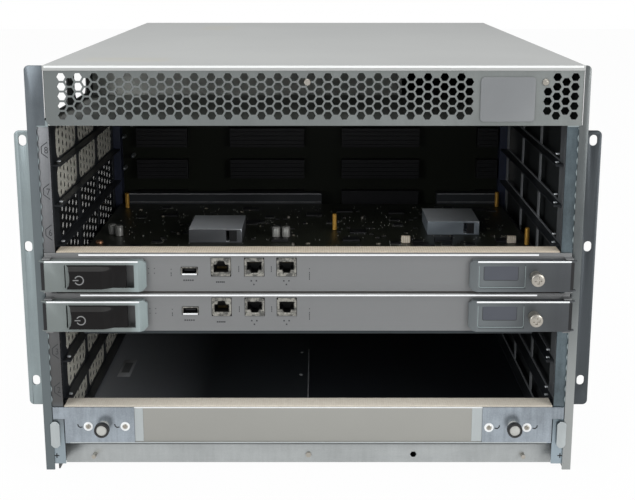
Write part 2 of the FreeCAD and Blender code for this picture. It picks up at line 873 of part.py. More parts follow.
def make_blade(slot):
    """Every piece of one control blade."""
    tag = f"blade{slot}"
    base = slot_z(slot) + S.blade_gap
    face_top = base + S.face_height
    lever_low = slot_z(slot) + S.lever_lift
    lever_high = lever_low + S.lever_height
    jack_low = slot_z(slot) + S.jack_lift
    jack_high = jack_low + S.jack_height
    usb_low = slot_z(slot) + S.usb_lift
    usb_high = usb_low + S.usb_height

    # Faceplate: a folded sheet with a return along its top and tabs that hold the levers.
    face = body(f"{tag}_faceplate")
    pad(face, "XZ", 0, S.face_sheet, [rectangle(-face_half, face_half, base, face_top)])
    pad(face, "XZ", S.face_sheet, S.return_depth,
        [rectangle(-tray_half, tray_half, face_top - S.face_sheet, face_top)])
    for sign in (-1, 1):
        tab_out = face_half * sign
        tab_in = (face_half - S.ear_tab_width) * sign
        for low, high in ((lever_low - S.blade_gap - S.face_sheet, lever_low - S.blade_gap),
                          (lever_high + S.blade_gap, lever_high + S.blade_gap + S.face_sheet)):
            pad(face, "XY", low, high,
                [rectangle(tab_in, tab_out, pivot_y - S.pivot_radius * 2, 0)])
    cuts = [
        rectangle(centre - S.jack_width / 2 - S.port_play, centre + S.jack_width / 2 + S.port_play,
                  jack_low - S.port_play, jack_high + S.port_play)
        for centre in jack_centres
    ]
    cuts.append(rectangle(-S.usb_centre - S.usb_width / 2 - S.port_play,
                          S.usb_width / 2 + S.port_play - S.usb_centre,
                          usb_low - S.port_play, usb_high + S.port_play))
    pocket(face, "XZ", -1, S.face_sheet + 1, cuts)

    # Tray that carries the board and slides on the rails.
    plate(f"{tag}_tray", (-tray_half, tray_half), (S.face_sheet, S.blade_depth),
          (base, base + S.face_sheet))
    board_low = base + S.board_height
    board_top = board_low + S.board_sheet
    board = body(f"{tag}_board")
    pad(board, "XY", board_low, board_top,
        [rectangle(S.board_inset - tray_half, tray_half - S.board_inset,
                   S.board_start, S.blade_depth)])
    half = S.standoff / 2
    pad(board, "XY", base + S.face_sheet, board_low, [
        rectangle(tray_half * share - half, tray_half * share + half, y - half, y + half)
        for share in (-0.86, -0.29, 0.29, 0.86)
        for y in (S.standoff_front, S.blade_depth - S.standoff_inset)
    ])

    plate(f"{tag}_gasket", (-tray_half, tray_half),
          (S.face_sheet * 2, S.face_sheet * 2 + S.gasket_depth),
          (face_top, face_top + S.gasket_thickness))

    # Port shells: three eight-way jacks with a latch notch, and one flat port.
    shells = []
    shell_back = S.face_sheet + S.port_play
    for centre in jack_centres:
        shell_x = (centre - S.jack_width / 2, centre + S.jack_width / 2)
        outer = doc.addObject("Part::Fuse", "Shell")
        outer.Base = block(shell_x, (-S.jack_proud, S.jack_depth), (jack_low, jack_high))
        outer.Tool = block(shell_x, (shell_back, S.jack_depth), (board_top, jack_low + 1))
        mouth_low = jack_low + 2
        mouth_high = mouth_low + S.jack_mouth_height
        hollow = doc.addObject("Part::Fuse", "Mouth")
        hollow.Base = block((centre - S.jack_mouth_width / 2, centre + S.jack_mouth_width / 2),
                            (-S.jack_proud - 1, S.jack_depth - 2), (mouth_low, mouth_high))
        hollow.Tool = block((centre - S.jack_latch_width / 2, centre + S.jack_latch_width / 2),
                            (-S.jack_proud - 1, S.jack_depth - 2),
                            (mouth_high - 1, mouth_high + S.jack_latch_height))
        shells.append(cut("Jack", outer, hollow))
    usb_x = (-S.usb_centre - S.usb_width / 2, S.usb_width / 2 - S.usb_centre)
    usb_shell = doc.addObject("Part::Fuse", "Shell")
    usb_shell.Base = block(usb_x, (-S.jack_proud, S.usb_depth), (usb_low, usb_high))
    usb_shell.Tool = block(usb_x, (shell_back, S.usb_depth), (board_top, usb_low + S.usb_wall / 2))
    usb_hollow = block((S.usb_wall - S.usb_centre - S.usb_width / 2,
                        S.usb_width / 2 - S.usb_centre - S.usb_wall),
                       (-S.jack_proud - 1, S.usb_depth - 2),
                       (usb_low + S.usb_wall, usb_high - S.usb_wall))
    shells.append(cut("FlatPort", usb_shell, usb_hollow))
    group(f"{tag}_ports", shells)

    # Rear plugs, bridged by the stiffener that runs over them.
    plug_low = board_top - S.plug_drop
    plug_left = S.plug_left_inset - tray_half
    plug_right = tray_half - S.plug_right_inset
    group(f"{tag}_plugs", [
        block(span, (S.blade_depth, plug_back), (plug_low, plug_low + S.plug_height))
        for span in ((plug_left, plug_left + S.plug_left_width),
                     (plug_right - S.plug_right_width, plug_right))
    ])

    # Box-shaped screening cans, left open at one end of their front.
    cans = []
    for left, front in ((-S.can_left_x - S.can_width / 2, S.can_left_y),
                        (S.can_right_x - S.can_width / 2, S.can_right_y)):
        shell = block((left, left + S.can_width), (front, front + S.can_depth),
                      (board_top, board_top + S.can_height))
        inside = block((left + S.can_width * 0.7, left + S.can_width * 0.9), (front - 1, front + 20),
                       (board_top + 1.5, board_top + S.can_height - 1.5))
        cans.append(cut("Can", shell, inside))
    group(f"{tag}_cans", cans)

    for side, sign in (("left", -1), ("right", 1)):
        make_lever(f"{tag}_{side}_lever", sign, lever_low, lever_high)

    group(f"{tag}_pivot_pins", [
        rod("Z", (S.pivot_x * sign, pivot_y), lever_low - S.blade_gap,
            lever_high + S.blade_gap, S.pivot_radius)
        for sign in (-1, 1)
    ])
    make_switch(f"{tag}_switch", lever_low, lever_high)

    # Captive thumbscrew in the right lever.
    thumb_z = slot_z(slot) + S.thumb_lift
    group(f"{tag}_thumbscrew", [
        rod("Y", (S.thumb_x, thumb_z), lever_face_y - S.blade_gap - S.thumb_length,
            lever_face_y - S.blade_gap, S.thumb_radius),
    ])


def make_lever(name, sign, low, high):
    """Ejector lever: a folded tray, open at the back, that turns on a pin near its outer end."""
    lever = body(name)
    pad(lever, "XY", low, high, [[
        (S.lever_outer * sign, lever_face_y),
        (S.lever_shoulder * sign, lever_face_y),
        (S.lever_inner * sign, lever_back_y - 3),
        (S.lever_inner * sign, lever_back_y),
        ((S.pivot_x - 3) * sign, lever_back_y),
        ((S.pivot_x + 3) * sign, pivot_y + 2),
        (S.lever_tip * sign, pivot_y),
        (S.lever_tip * sign, pivot_y - 2),
    ]])
    tip = S.lever_corner
    edge = (S.lever_inner - 1) * sign
    inward = (S.lever_inner + tip) * sign
    for corner_z, beyond, back in ((low, low - 1, low + tip), (high, high + 1, high - tip)):
        pocket(lever, "XZ", lever_face_y + 0.1, 0, [[
            (edge, beyond), (inward, beyond), (inward, corner_z), (S.lever_inner * sign, back),
            (edge, back),
        ]])
    wall = S.lever_sheet
    pocket(lever, "XY", low + wall, high - wall, [[
        ((S.lever_tip + 1) * sign, lever_face_y + wall),
        ((S.lever_shoulder + 0.4) * sign, lever_face_y + wall),
        ((S.lever_inner + wall) * sign, lever_back_y - 3 + wall / 2),
        ((S.lever_inner + wall) * sign, lever_back_y + 1),
        ((S.lever_tip + 1) * sign, lever_back_y + 1),
    ]])
    pocket(lever, "XY", low - 1, high + 1,
           circles=[((S.pivot_x * sign, pivot_y), S.pivot_radius + S.pivot_play)])
    middle = (low + high) / 2
    if sign < 0:
        half = S.switch_window / 2
        pocket(lever, "XZ", lever_face_y - 1, lever_face_y + wall + 0.4,
               [rectangle(-S.switch_left, -S.switch_right, middle - half, middle + half)])
    else:
        half = S.recess_height / 2
        pocket(lever, "XZ", lever_face_y - 1, lever_face_y + S.recess_depth,
               [rectangle(S.recess_inner, S.recess_outer, middle - half, middle + half)])


def make_switch(name, lever_low, lever_high):
    """Sliding switch in the left lever: a thumb piece with a hollowed end and a ramp."""
    middle = (lever_low + lever_high) / 2
    half = S.switch_window / 2 - S.switch_play
    inside = lever_face_y + S.lever_sheet + S.blade_gap
    proud = lever_face_y - S.switch_proud
    left = S.switch_play - S.switch_left
    tail = -S.switch_right - S.switch_travel - S.switch_play
    switch = body(name)
    pad(switch, "XY", middle - half, middle + half, [[
        (left, inside),
        (left, lever_face_y - 1),
        (left - 0, proud),
        (left + 30, proud),
        (left + 38, lever_face_y + S.blade_gap),
        (tail, lever_face_y + S.blade_gap),
        (tail, inside),
    ]])
    guide_half = (lever_high - lever_low) / 2 - S.lever_sheet - S.switch_play
    pad(switch, "XY", middle - guide_half, middle + guide_half,
        [rectangle(left - 4, tail + 3, inside, inside + 2)])
    hollow_radius = S.switch_window
    pocket(switch, "XZ", proud - 1, lever_face_y + S.blade_gap,
           circles=[((left + 3 - hollow_radius, middle), hollow_radius)])


for occupied in (5, 4):
    make_blade(occupied)


# ---------------------------------------------------------------- slot 1 filler

filler_low = slot_z(1) + S.blade_gap + S.filler_lift
filler_high = filler_low + S.face_height
filler_front = S.filler_setback
filler = body("filler_panel")
filler_half = opening - S.side_play
pad(filler, "XZ", filler_front, filler_front + S.face_sheet,
    [rectangle(-filler_half, filler_half, filler_low, filler_high)])
for low, high in ((filler_low, filler_low + S.face_sheet),
                  (filler_high - S.face_sheet, filler_high)):
    pad(filler, "XZ", filler_front + S.face_sheet, filler_front + S.filler_depth,
        [rectangle(-filler_half, filler_half, low, high)])

bracket_members = []
bracket_front = filler_front - S.face_sheet
for sign in (-1, 1):
    bracket = [(S.filler_bracket_inner, filler_half), (filler_half, face_half)]
    lows = (filler_low, S.slot_base + S.tab_height)
    pieces = []
    for (near, far), low in zip(bracket, lows):
        low_x, high_x = (-far, -near) if sign < 0 else (near, far)
        pieces.append(block((low_x, high_x), (bracket_front, filler_front), (low, filler_high)))
    joined = doc.addObject("Part::Fuse", "Bracket")
    joined.Base, joined.Tool = pieces
    joined.Refine = True
    bracket_members.append(joined)
group("filler_brackets", bracket_members)

plate("filler_gasket", (-filler_half, filler_half),
      (filler_front + S.face_sheet, filler_front + S.face_sheet + S.gasket_depth),
      (filler_high, filler_high + S.gasket_thickness))

knob_z = (filler_low + filler_high) / 2
for side, sign in (("left", -1), ("right", 1)):
    knob_x = S.knob_x * sign
    group(f"filler_{side}_knob", [
        rod("Y", (knob_x, knob_z), bracket_front - S.blade_gap - S.knob_length,
            bracket_front - S.blade_gap, S.knob_radius),
    ])


# ---------------------------------------------------------------- rear modules

def module_box(side, base, height):
    """The opening's limits for one rear module, less its play."""
    left, right = module_sides[side]
    return left + S.module_play, right - S.module_play, base + S.module_play, \
        base + height - S.module_play


def impeller_blade(centre_x, centre_z, number, count):
    """The outline of one radial blade, whose root is sunk into the hub."""
    turn = 2 * math.pi * number / count
    across, along = math.cos(turn), math.sin(turn)
    half = S.impeller_blade / 2
    corners = ((S.impeller_hub - 2, -half), (S.impeller_radius, -half),
               (S.impeller_radius, half), (S.impeller_hub - 2, half))
    return [(centre_x + u * across - v * along, centre_z + u * along + v * across)
            for u, v in corners]


def impeller_hub(centre_x, centre_z, sides):
    """The hub's outline: a polygon with two sides to each blade."""
    turns = [2 * math.pi * (number + 0.5) / sides for number in range(sides)]
    return [(centre_x + S.impeller_hub * math.cos(turn), centre_z + S.impeller_hub * math.sin(turn))
            for turn in turns]


shelf_front = cage_back + S.backplane_sheet
shelf_back = rear_face - S.sheet_metal
group("rear_shelves", [
    block((inner_left, inner_right), (shelf_front, shelf_back), limits)
    for limits in ((S.supply_base - S.sheet_metal, S.supply_base),
                   (S.blower_base - S.sheet_metal, S.blower_base))
])

for side in ("left", "right"):
    # Power supply: a closed case with an inlet, a row of vents and a pull.
    left, right, low, high = module_box(side, S.supply_base, S.supply_height)
    supply = body(f"power_supply_{side}")
    pad(supply, "XZ", cage_back + S.backplane_sheet + S.supply_gap, rear_face,
        [rectangle(left, right, low, high)])
    pad(supply, "XZ", rear_face, rear_face + S.sheet_metal,
        [rectangle(left - S.module_lip / 2, right + S.module_lip / 2, low - 1, high + 1)])
    middle = (low + high) / 2
    inlet_left = left + 16
    face_out = rear_face + S.sheet_metal
    pocket(supply, "XZ", face_out - S.inlet_depth, face_out + 1,
           [rectangle(inlet_left, inlet_left + S.inlet_width,
                      middle - S.inlet_height / 2, middle + S.inlet_height / 2)])
    vent = pocket(supply, "XZ", face_out - 6, face_out + 1,
                  [rectangle(right - 70, right - 12, low + 12, low + 12 + S.vent_height)])
    repeat(supply, vent, "Z", 7, S.vent_pitch)
    pull_left = inlet_left + S.inlet_width + 12
    pull_right = pull_left + S.pull_width
    pad(supply, "XY", middle - S.pull_bar, middle + S.pull_bar, [[
        (pull_left, face_out), (pull_left, face_out + S.pull_reach),
        (pull_right, face_out + S.pull_reach), (pull_right, face_out),
        (pull_right - S.pull_bar, face_out),
        (pull_right - S.pull_bar, face_out + S.pull_reach - S.pull_bar),
        (pull_left + S.pull_bar, face_out + S.pull_reach - S.pull_bar),
        (pull_left + S.pull_bar, face_out),
    ]])

    # Blower: a housing open at the front, with a slatted outlet and an axle for the impeller.
    left, right, low, high = module_box(side, S.blower_base, S.blower_height)
    blower = body(f"blower_{side}")
    front = rear_face - S.blower_depth
    wall = S.sheet_metal * 2
    pad(blower, "XZ", front, rear_face, [rectangle(left, right, low, high)])
    pocket(blower, "XZ", front - 1, rear_face - wall,
           [rectangle(left + wall, right - wall, low + wall, high - wall)])
    pad(blower, "XZ", rear_face, rear_face + S.sheet_metal,
        [rectangle(left - S.module_lip / 2, right + S.module_lip / 2, low - 1, high + 1)])
    centre_x = (left + right) / 2
    centre_z = (low + high) / 2
    slat = pocket(blower, "XZ", rear_face - wall - 1, face_out + 1,
                  [rectangle(centre_x - S.impeller_radius, centre_x + S.impeller_radius,
                             low + 24, low + 24 + S.vent_height)])
    repeat(blower, slat, "Z", 13, S.vent_pitch)
    hub_back = rear_face - wall - S.blade_gap
    pad(blower, "XZ", hub_back - S.impeller_depth, rear_face - wall,
        circles=[((centre_x, centre_z), S.axle_radius)])

    # Impeller: straight blades around a hub that turns on the axle.
    impeller = body(f"impeller_{side}")
    pad(impeller, "XZ", hub_back - S.impeller_depth, hub_back,
        [impeller_hub(centre_x, centre_z, S.count("impeller_blades") * 2)])
    pad(impeller, "XZ", hub_back - S.impeller_depth, hub_back, [
        impeller_blade(centre_x, centre_z, number, S.count("impeller_blades"))
        for number in range(S.count("impeller_blades"))
    ])
    pocket(impeller, "XZ", hub_back - S.impeller_depth - 1, hub_back + 1,
           circles=[((centre_x, centre_z), S.axle_radius + S.axle_play)])


# ---------------------------------------------------------------- check and write

for node in NODES:
    node.setExpression("Placement.Base.y", (-S.chassis_depth / 2).text)
doc.recompute()
faults = [item.Label for item in doc.Objects if {"Invalid", "Error"} & set(item.State)]
if faults:
    raise RuntimeError(f"failed objects: {faults}")
os.makedirs("parts", exist_ok=True)
for node in NODES:
    if node.Shape.isNull() or not node.Shape.isValid():
        raise RuntimeError(f"{node.Label}: no valid shape")
    node.Shape.exportStep(os.path.join("parts", node.Label + ".step"))
    print(f"{node.Label}: {len(node.Shape.Solids)} solids, {node.Shape.Volume / 1000:.1f} cm3")
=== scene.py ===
"""Looks for an eight-slot modular switch chassis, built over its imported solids."""

import json
import math

import bmesh
import bpy
import numpy as np
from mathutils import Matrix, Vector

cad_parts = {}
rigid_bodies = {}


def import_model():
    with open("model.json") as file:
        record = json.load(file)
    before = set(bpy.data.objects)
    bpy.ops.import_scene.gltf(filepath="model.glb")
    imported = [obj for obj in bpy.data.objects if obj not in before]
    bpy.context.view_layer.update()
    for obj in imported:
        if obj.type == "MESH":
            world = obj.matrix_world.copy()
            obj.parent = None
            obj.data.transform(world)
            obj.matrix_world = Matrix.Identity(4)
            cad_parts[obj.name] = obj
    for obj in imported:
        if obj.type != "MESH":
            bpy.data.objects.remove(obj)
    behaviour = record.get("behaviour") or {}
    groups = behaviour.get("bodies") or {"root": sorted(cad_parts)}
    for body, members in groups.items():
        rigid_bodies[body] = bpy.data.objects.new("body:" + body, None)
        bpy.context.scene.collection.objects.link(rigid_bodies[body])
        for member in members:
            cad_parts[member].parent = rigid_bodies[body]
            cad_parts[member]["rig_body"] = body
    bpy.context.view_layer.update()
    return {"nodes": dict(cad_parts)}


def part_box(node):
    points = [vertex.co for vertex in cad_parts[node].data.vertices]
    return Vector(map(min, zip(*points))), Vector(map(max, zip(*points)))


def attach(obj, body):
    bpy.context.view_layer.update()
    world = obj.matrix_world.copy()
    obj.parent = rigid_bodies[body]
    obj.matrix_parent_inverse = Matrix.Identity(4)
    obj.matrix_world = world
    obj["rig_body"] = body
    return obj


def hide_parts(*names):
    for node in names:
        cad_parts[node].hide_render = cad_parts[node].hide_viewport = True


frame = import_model()


# ------------------------------------------------------------------ folded steel shell
# The walls, pan, floor and frames are 1.2 mm zinc-coated steel, sheared and folded.
# Every edge that shows keeps the small radius that the press brake leaves, and the zinc
# has a faint cloudy grain with streaks along the rolling direction.


class Wire:
    """A shader socket in a sum: each operator adds one Math node to its material."""

    def __init__(self, finish, socket):
        self.finish = finish
        self.socket = socket

    def sum(self, operation, first, second):
        return self.finish.node("ShaderNodeMath", {0: first, 1: second}, operation=operation)

    def __add__(self, other):
        return self.sum("ADD", self, other)

    def __radd__(self, other):
        return self.sum("ADD", other, self)

    def __sub__(self, other):
        return self.sum("SUBTRACT", self, other)

    def __rsub__(self, other):
        return self.sum("SUBTRACT", other, self)

    def __mul__(self, other):
        return self.sum("MULTIPLY", self, other)

    def __lt__(self, other):
        return self.sum("LESS_THAN", self, other)

    def __gt__(self, other):
        return self.sum("GREATER_THAN", self, other)


def rgba(colour):
    return colour if isinstance(colour, Wire) else (*colour, 1.0)


class Finish:
    """A material, or the world's surround, being put together from nodes."""

    def __init__(self, name, kind="materials"):
        self.owner = getattr(bpy.data, kind).new(name)
        self.owner.use_nodes = True
        self.tree = self.owner.node_tree
        self.tree.nodes.clear()

    def node(self, kind, inputs=None, output=0, **settings):
        made = self.tree.nodes.new(kind)
        for key, value in settings.items():
            setattr(made, key, value)
        for key, value in (inputs or {}).items():
            if isinstance(value, Wire):
                self.tree.links.new(value.socket, made.inputs[key])
            else:
                made.inputs[key].default_value = value
        return Wire(self, made.outputs[output]) if len(made.outputs) else None

    def place(self, scale=(1.0, 1.0, 1.0)):
        """Object coordinates in metres, stretched."""
        spot = self.node("ShaderNodeTexCoord", output=3)
        return self.node("ShaderNodeMapping", {"Vector": spot, "Scale": scale})

    def axis(self, which, output=3):
        """One Object coordinate, in metres."""
        spot = self.node("ShaderNodeTexCoord", output=output)
        return self.node("ShaderNodeSeparateXYZ", {"Vector": spot}, output="XYZ".index(which))

    def facing(self, which):
        """One component of the surface's normal."""
        return self.axis(which, output=1)

    def noise(self, scale, detail=3.0, roughness=0.5, vector=None):
        return self.node("ShaderNodeTexNoise", {
            "Vector": vector or self.place(), "Scale": scale, "Detail": detail, "Roughness": roughness})

    def waves(self, direction, scale, distortion, **more):
        """Even bands across one direction, a little bent."""
        inputs = {"Vector": self.place(), "Scale": scale, "Distortion": distortion}
        inputs |= {key.replace("_", " "): value for key, value in more.items()}
        return self.node("ShaderNodeTexWave", inputs, wave_type="BANDS", bands_direction=direction)

    def passed(self, value, start, end):
        """0 until the value reaches the start, 1 once it is at the end, even in between."""
        return self.node("ShaderNodeMapRange", {"Value": value, "From Min": start, "From Max": end})

    def band(self, value, low, high, soft):
        """1 where value lies between low and high, with soft shoulders."""
        rise = self.passed(value, low - soft, low + soft)
        return rise * (1.0 - self.passed(value, high - soft, high + soft))

    def mix(self, first, second, factor):
        return self.node(
            "ShaderNodeMix", {0: factor, 6: rgba(first), 7: rgba(second)}, output=2, data_type="RGBA")

    def surface(self, height=None, depth=0.00003, **sockets):
        """Closes the material with one Principled surface, over a bump where a height is given."""
        inputs = {key.replace("_", " "): value for key, value in sockets.items()}
        inputs["Base Color"] = rgba(inputs["Base Color"])
        if height is not None:
            inputs["Normal"] = self.node("ShaderNodeBump", {"Height": height, "Distance": depth})
        shader = self.node("ShaderNodeBsdfPrincipled", inputs)
        self.node("ShaderNodeOutputMaterial", {"Surface": shader})
        return self.owner


def coat(name, low, high, cloud, shine, grain=None, over=None, depth=0.00003, **sockets):
    """A finish whose tint goes from low to high with one cloud of noise. The shine is the least
    roughness and what the cloud adds to it. A grain, or the cloud itself, raises the surface,
    and over is another tint with the function that says where it lies."""
    finish = Finish(name)
    wander = finish.noise(*cloud)
    tint = finish.mix(low, high, wander)
    if over:
        tint = finish.mix(tint, over[0], over[1](finish))
    return finish.surface(
        height=wander if grain == "cloud" else grain and finish.noise(*grain),
        depth=depth,
        Base_Color=tint,
        Roughness=shine if isinstance(shine, float) else shine[0] + wander * shine[1],
        **sockets,
    )


def shaded(colour, share):
    return tuple(min(1.0, c * share) for c in colour)


def zinc(name, colour, cloud, shine, metallic=0.75, painted_light_fades=()):
    """Zinc-coated steel: cloudy tint, streaks along the rolling direction, uneven polish.
    A fade is (axis, start, end, tint) and paints light and shade along the part: the tint at
    the start gives way to the colour by the end."""
    finish = Finish(name)
    clouds = finish.noise(18.0, 4.0, 0.6)
    streaks = finish.noise(260.0, 3.0, 0.6, finish.place((1.0, 1.0, 0.12)))
    grain = finish.noise(900.0, 2.0)
    mottle = clouds * 0.6 + streaks * 0.25 + grain * 0.15
    darker, paler = shaded(colour, 1.0 - cloud), shaded(colour, 1.0 + cloud)
    tint = finish.mix(darker, paler, finish.passed(mottle, 0.38, 0.62))
    for axis, start, end, faded in painted_light_fades:
        held = finish.passed(finish.axis(axis), start, end)
        tint = finish.mix(finish.mix(faded, shaded(faded, 1.2), clouds), tint, held)
    return finish.surface(
        height=grain * 0.6 + streaks * 0.4,
        Base_Color=tint,
        Metallic=metallic,
        Roughness=shine + mottle * 0.18 - 0.09,
    )


def dress(material, *nodes):
    """Gives CAD nodes their finish."""
    for node in nodes:
        part = frame["nodes"][node]
        part.data.materials.clear()
        part.data.materials.append(material)


def softened(node, width, steps=2, material=None):
    """A copy of a CAD node, welded and with its edges rounded, shown in its place."""
    part = frame["nodes"][node]
    mesh = part.data.copy()
    piece = bpy.data.objects.new(f"{node}_finished", mesh)
    bpy.context.scene.collection.objects.link(piece)
    shell = bmesh.new()
    shell.from_mesh(mesh)
    bmesh.ops.remove_doubles(shell, verts=shell.verts, dist=0.000002)
    bmesh.ops.dissolve_limit(
        shell, angle_limit=0.01, verts=shell.verts, edges=shell.edges, use_dissolve_boundaries=False)
    shell.to_mesh(mesh)
    shell.free()
    rounding = piece.modifiers.new("EdgeRadius", "BEVEL")
    rounding.width = width
    rounding.segments = steps
    rounding.limit_method = "ANGLE"
    rounding.angle_limit = math.radians(40)
    rounding.harden_normals = True
    rounding.use_clamp_overlap = True
    for polygon in mesh.polygons:
        polygon.use_smooth = True
    if material:
        mesh.materials.clear()
        mesh.materials.append(material)
    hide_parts(node)
    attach(piece, part["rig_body"])


shell_zinc = zinc("zinc_shell", (0.43, 0.45, 0.45), 0.10, 0.40)
black_cage = coat("black_cage_paint", (0.016, 0.018, 0.021), (0.038, 0.042, 0.048), (14.0, 4.0, 0.65),
                  (0.34, 0.2), (700.0, 2.0), depth=0.00004, Specular_IOR_Level=0.5)


def two_sided(name, pale, outward):
    """Wall sheet: bare zinc on the face that looks outward, black paint on every other face."""
    finish = Finish(name)
    bare = (finish.facing("X") * outward) > 0.5
    cloud = finish.noise(40.0, 4.0)
    black = finish.mix((0.020, 0.023, 0.024), (0.040, 0.044, 0.045), cloud)
    metal = finish.mix(shaded(pale, 0.85), shaded(pale, 1.12), cloud)
    return finish.surface(
        height=finish.noise(800.0, 2.0),
        Base_Color=finish.mix(black, metal, bare),
        Metallic=bare * 0.5,
        Roughness=0.5 - bare * 0.05 + cloud * 0.1,
    )


dress(shell_zinc, "bottom_pan", "rear_frame", "rear_shelves")
dress(two_sided("left_wall_metal", (0.42, 0.43, 0.43), -1.0), "left_side_wall")
dress(two_sided("right_wall_metal", (0.42, 0.43, 0.43), 1.0), "right_side_wall")
bay = Finish("bay_metal")
bay_cloud = bay.noise(40.0, 4.0)
bay_inside = bay.mix((0.020, 0.023, 0.024), (0.27, 0.28, 0.26), bay.facing("Z") > 0.5)
bay_front = bay.mix((0.46, 0.47, 0.44), (0.60, 0.61, 0.57), bay_cloud)
dress(bay.surface(
    height=bay.noise(800.0, 2.0),
    Base_Color=bay.mix(bay_inside, bay_front, bay.facing("Y") < -0.5),
    Roughness=0.48 + bay_cloud * 0.1,
), "top_bay_floor")
floor = Finish("cage_floor_lacquer")
floor_cloud = floor.noise(10.0, 4.0, 0.6)
seam_x = -0.0013
# The left sheet is pale near the left wall and dark from there on: a painted reflection.
left_sheet_painted_sheen = floor.mix(
    floor.mix((0.34, 0.355, 0.385), (0.42, 0.44, 0.47), floor_cloud),
    floor.mix((0.026, 0.030, 0.034), (0.040, 0.045, 0.050), floor_cloud),
    floor.passed(floor.axis("X"), -0.20, -0.10))
dark_sheet = floor.mix((0.012, 0.014, 0.017), (0.022, 0.025, 0.030), floor_cloud)
dress(floor.surface(
    height=floor.noise(700.0, 2.0),
    Base_Color=floor.mix(left_sheet_painted_sheen, dark_sheet, floor.axis("X") > seam_x),
    Roughness=0.36 + floor_cloud * 0.12,
), "cage_floor")
softened("bottom_pan", 0.0004)


# ------------------------------------------------------------------ top cover
# One sheet, painted a pale warm grey in a fine satin coat, hemmed down along its front
# edge. Faint yellowed patches show where tape was peeled off.

cover_low, cover_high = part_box("top_cover")


def peeled(finish):
    """Two soft-edged rectangles, each known by its middle and its halves, broken up by noise."""
    x, y = finish.axis("X"), finish.axis("Y")
    first, second = (
        finish.band(x, cover_low.x + right - half_x, cover_low.x + right + half_x, 0.004)
        * finish.band(y, cover_low.y + back - half_y, cover_low.y + back + half_y, 0.004)
        for right, back, half_x, half_y in ((0.060, 0.055, 0.035, 0.020), (0.100, 0.500, 0.018, 0.040))
    )
    return (first + second) * 0.35 * finish.noise(60.0, 3.0)


cover_paint = coat("cover_paint", (0.391, 0.396, 0.387), (0.455, 0.460, 0.446), (6.0, 5.0, 0.6), (0.58, 0.08),
                   (1400.0, 2.0), ((0.455, 0.419, 0.300), peeled), Metallic=0.1)
softened("top_cover", 0.0004, 3, cover_paint)


# ------------------------------------------------------------------ front grille and badge
# A punched steel panel closes the top bay: staggered hexagons with narrow webs. A bare
# rounded plate is stuck over its solid field.

dress(zinc("grille_zinc", (0.213, 0.228, 0.222), 0.10, 0.42, metallic=0.45,
           painted_light_fades=(("X", -0.20, 0.12, (0.146, 0.159, 0.156)),)), "front_grille")
badge_plastic = coat("badge_plastic", (0.175, 0.182, 0.187), (0.215, 0.223, 0.228), (25.0, 3.0), (0.35, 0.08),
                     (1500.0, 2.0), depth=0.00002)
softened("badge_plate", 0.0006, 3, badge_plastic)


# ------------------------------------------------------------------ flanges, strips and ears
# Full-height folded flanges, slot strips behind them, and the rack ears screwed to the
# walls. The flanges keep the blue cast of fresh zinc; the ears are a greener plate. The
# right-hand flange, strip and ear are painted darker than the left ones as painted shade,
# and fades paint light and shade up the flanges and strips.

flanges = {
    "left": zinc("left_flange_zinc", (0.145, 0.165, 0.182), 0.16, 0.33,
                 painted_light_fades=(("Z", 0.20, 0.33, (0.128, 0.150, 0.158)),)),
    "right": zinc("right_flange_zinc", (0.118, 0.130, 0.132), 0.16, 0.33,
                  painted_light_fades=(("Z", 0.07, 0.17, (0.31, 0.325, 0.32)),
                         ("Z", 0.335, 0.27, (0.150, 0.160, 0.160)))),
}
strips = {
    "left": zinc("left_strip_zinc", (0.235, 0.24, 0.25), 0.16, 0.36,
                 painted_light_fades=(("Z", 0.09, 0.30, (0.088, 0.088, 0.088)),
                        ("Z", 0.028, 0.062, (0.27, 0.32, 0.35)))),
    "right": zinc("right_strip_zinc", (0.105, 0.135, 0.15), 0.35, 0.32,
                  painted_light_fades=(("Z", 0.028, 0.062, (0.30, 0.36, 0.40)),)),
}
ears = {
    "left": zinc("left_ear_zinc", (0.295, 0.345, 0.355), 0.08, 0.42),
    "right": zinc("right_ear_zinc", (0.066, 0.075, 0.082), 0.08, 0.38),
}
sides = (("left", -1), ("right", 1))
for side, _ in sides:
    softened(f"{side}_front_flange", 0.0004, 2, flanges[side])
    softened(f"{side}_slot_strip", 0.0004, 2, strips[side])
    softened(f"{side}_rack_ear", 0.0004, 2, ears[side])
tab_zinc = zinc("tab_zinc", (0.47, 0.505, 0.51), 0.06, 0.38)
softened("slot_tabs", 0.0005, 3, tab_zinc)


# ------------------------------------------------------------------ marks and spring strips
# Slot marks and numbers are printed on the left strip. Crested ribbons of spring strip
# stand between each flange and its slot strip, and a painted highlight runs along the
# cover's front hem above them.


def grid_faces(rows, columns, close_rows=False, close_columns=True):
    """Quads between neighbouring rows and columns of a grid, joined round where it closes."""
    row = np.arange(rows if close_rows else rows - 1)
    column = np.arange(columns if close_columns else columns - 1)
    row, column = np.meshgrid(row, column, indexing="ij")
    above, beside = (row + 1) % rows, (column + 1) % columns
    corners = (
        row * columns + column,
        row * columns + beside,
        above * columns + beside,
        above * columns + column,
    )
    return np.stack(corners, -1).reshape(-1, 4).tolist()


def laid(plane, depth, axis="y"):
    """Points of a plane shape (n, 2) put at a depth along x, y or z."""
    depth = np.broadcast_to(depth, plane.shape[:-1])
    order = [plane[..., 0], plane[..., 1]]
    order.insert("xyz".index(axis), depth)
    return np.stack(order, -1)


def slab(outline, low, high, axis="y", rim=0.0002):
    """A plate: its outline is carried from low to high, and drawn in by the rim at both faces."""
    middle = (outline.max(0) + outline.min(0)) / 2
    half = (outline.max(0) - outline.min(0)) / 2
    inner = middle + (outline - middle) * (1 - np.minimum(rim / half, 0.8))
    step = min(rim, (high - low) / 3)
    rings = ((inner, low), (outline, low + step), (outline, high - step), (inner, high))
    count = len(outline)
    faces = grid_faces(4, count) + [list(range(count)), list(range(3 * count, 4 * count))]
    return np.concatenate([laid(ring, depth, axis) for ring, depth in rings]), faces


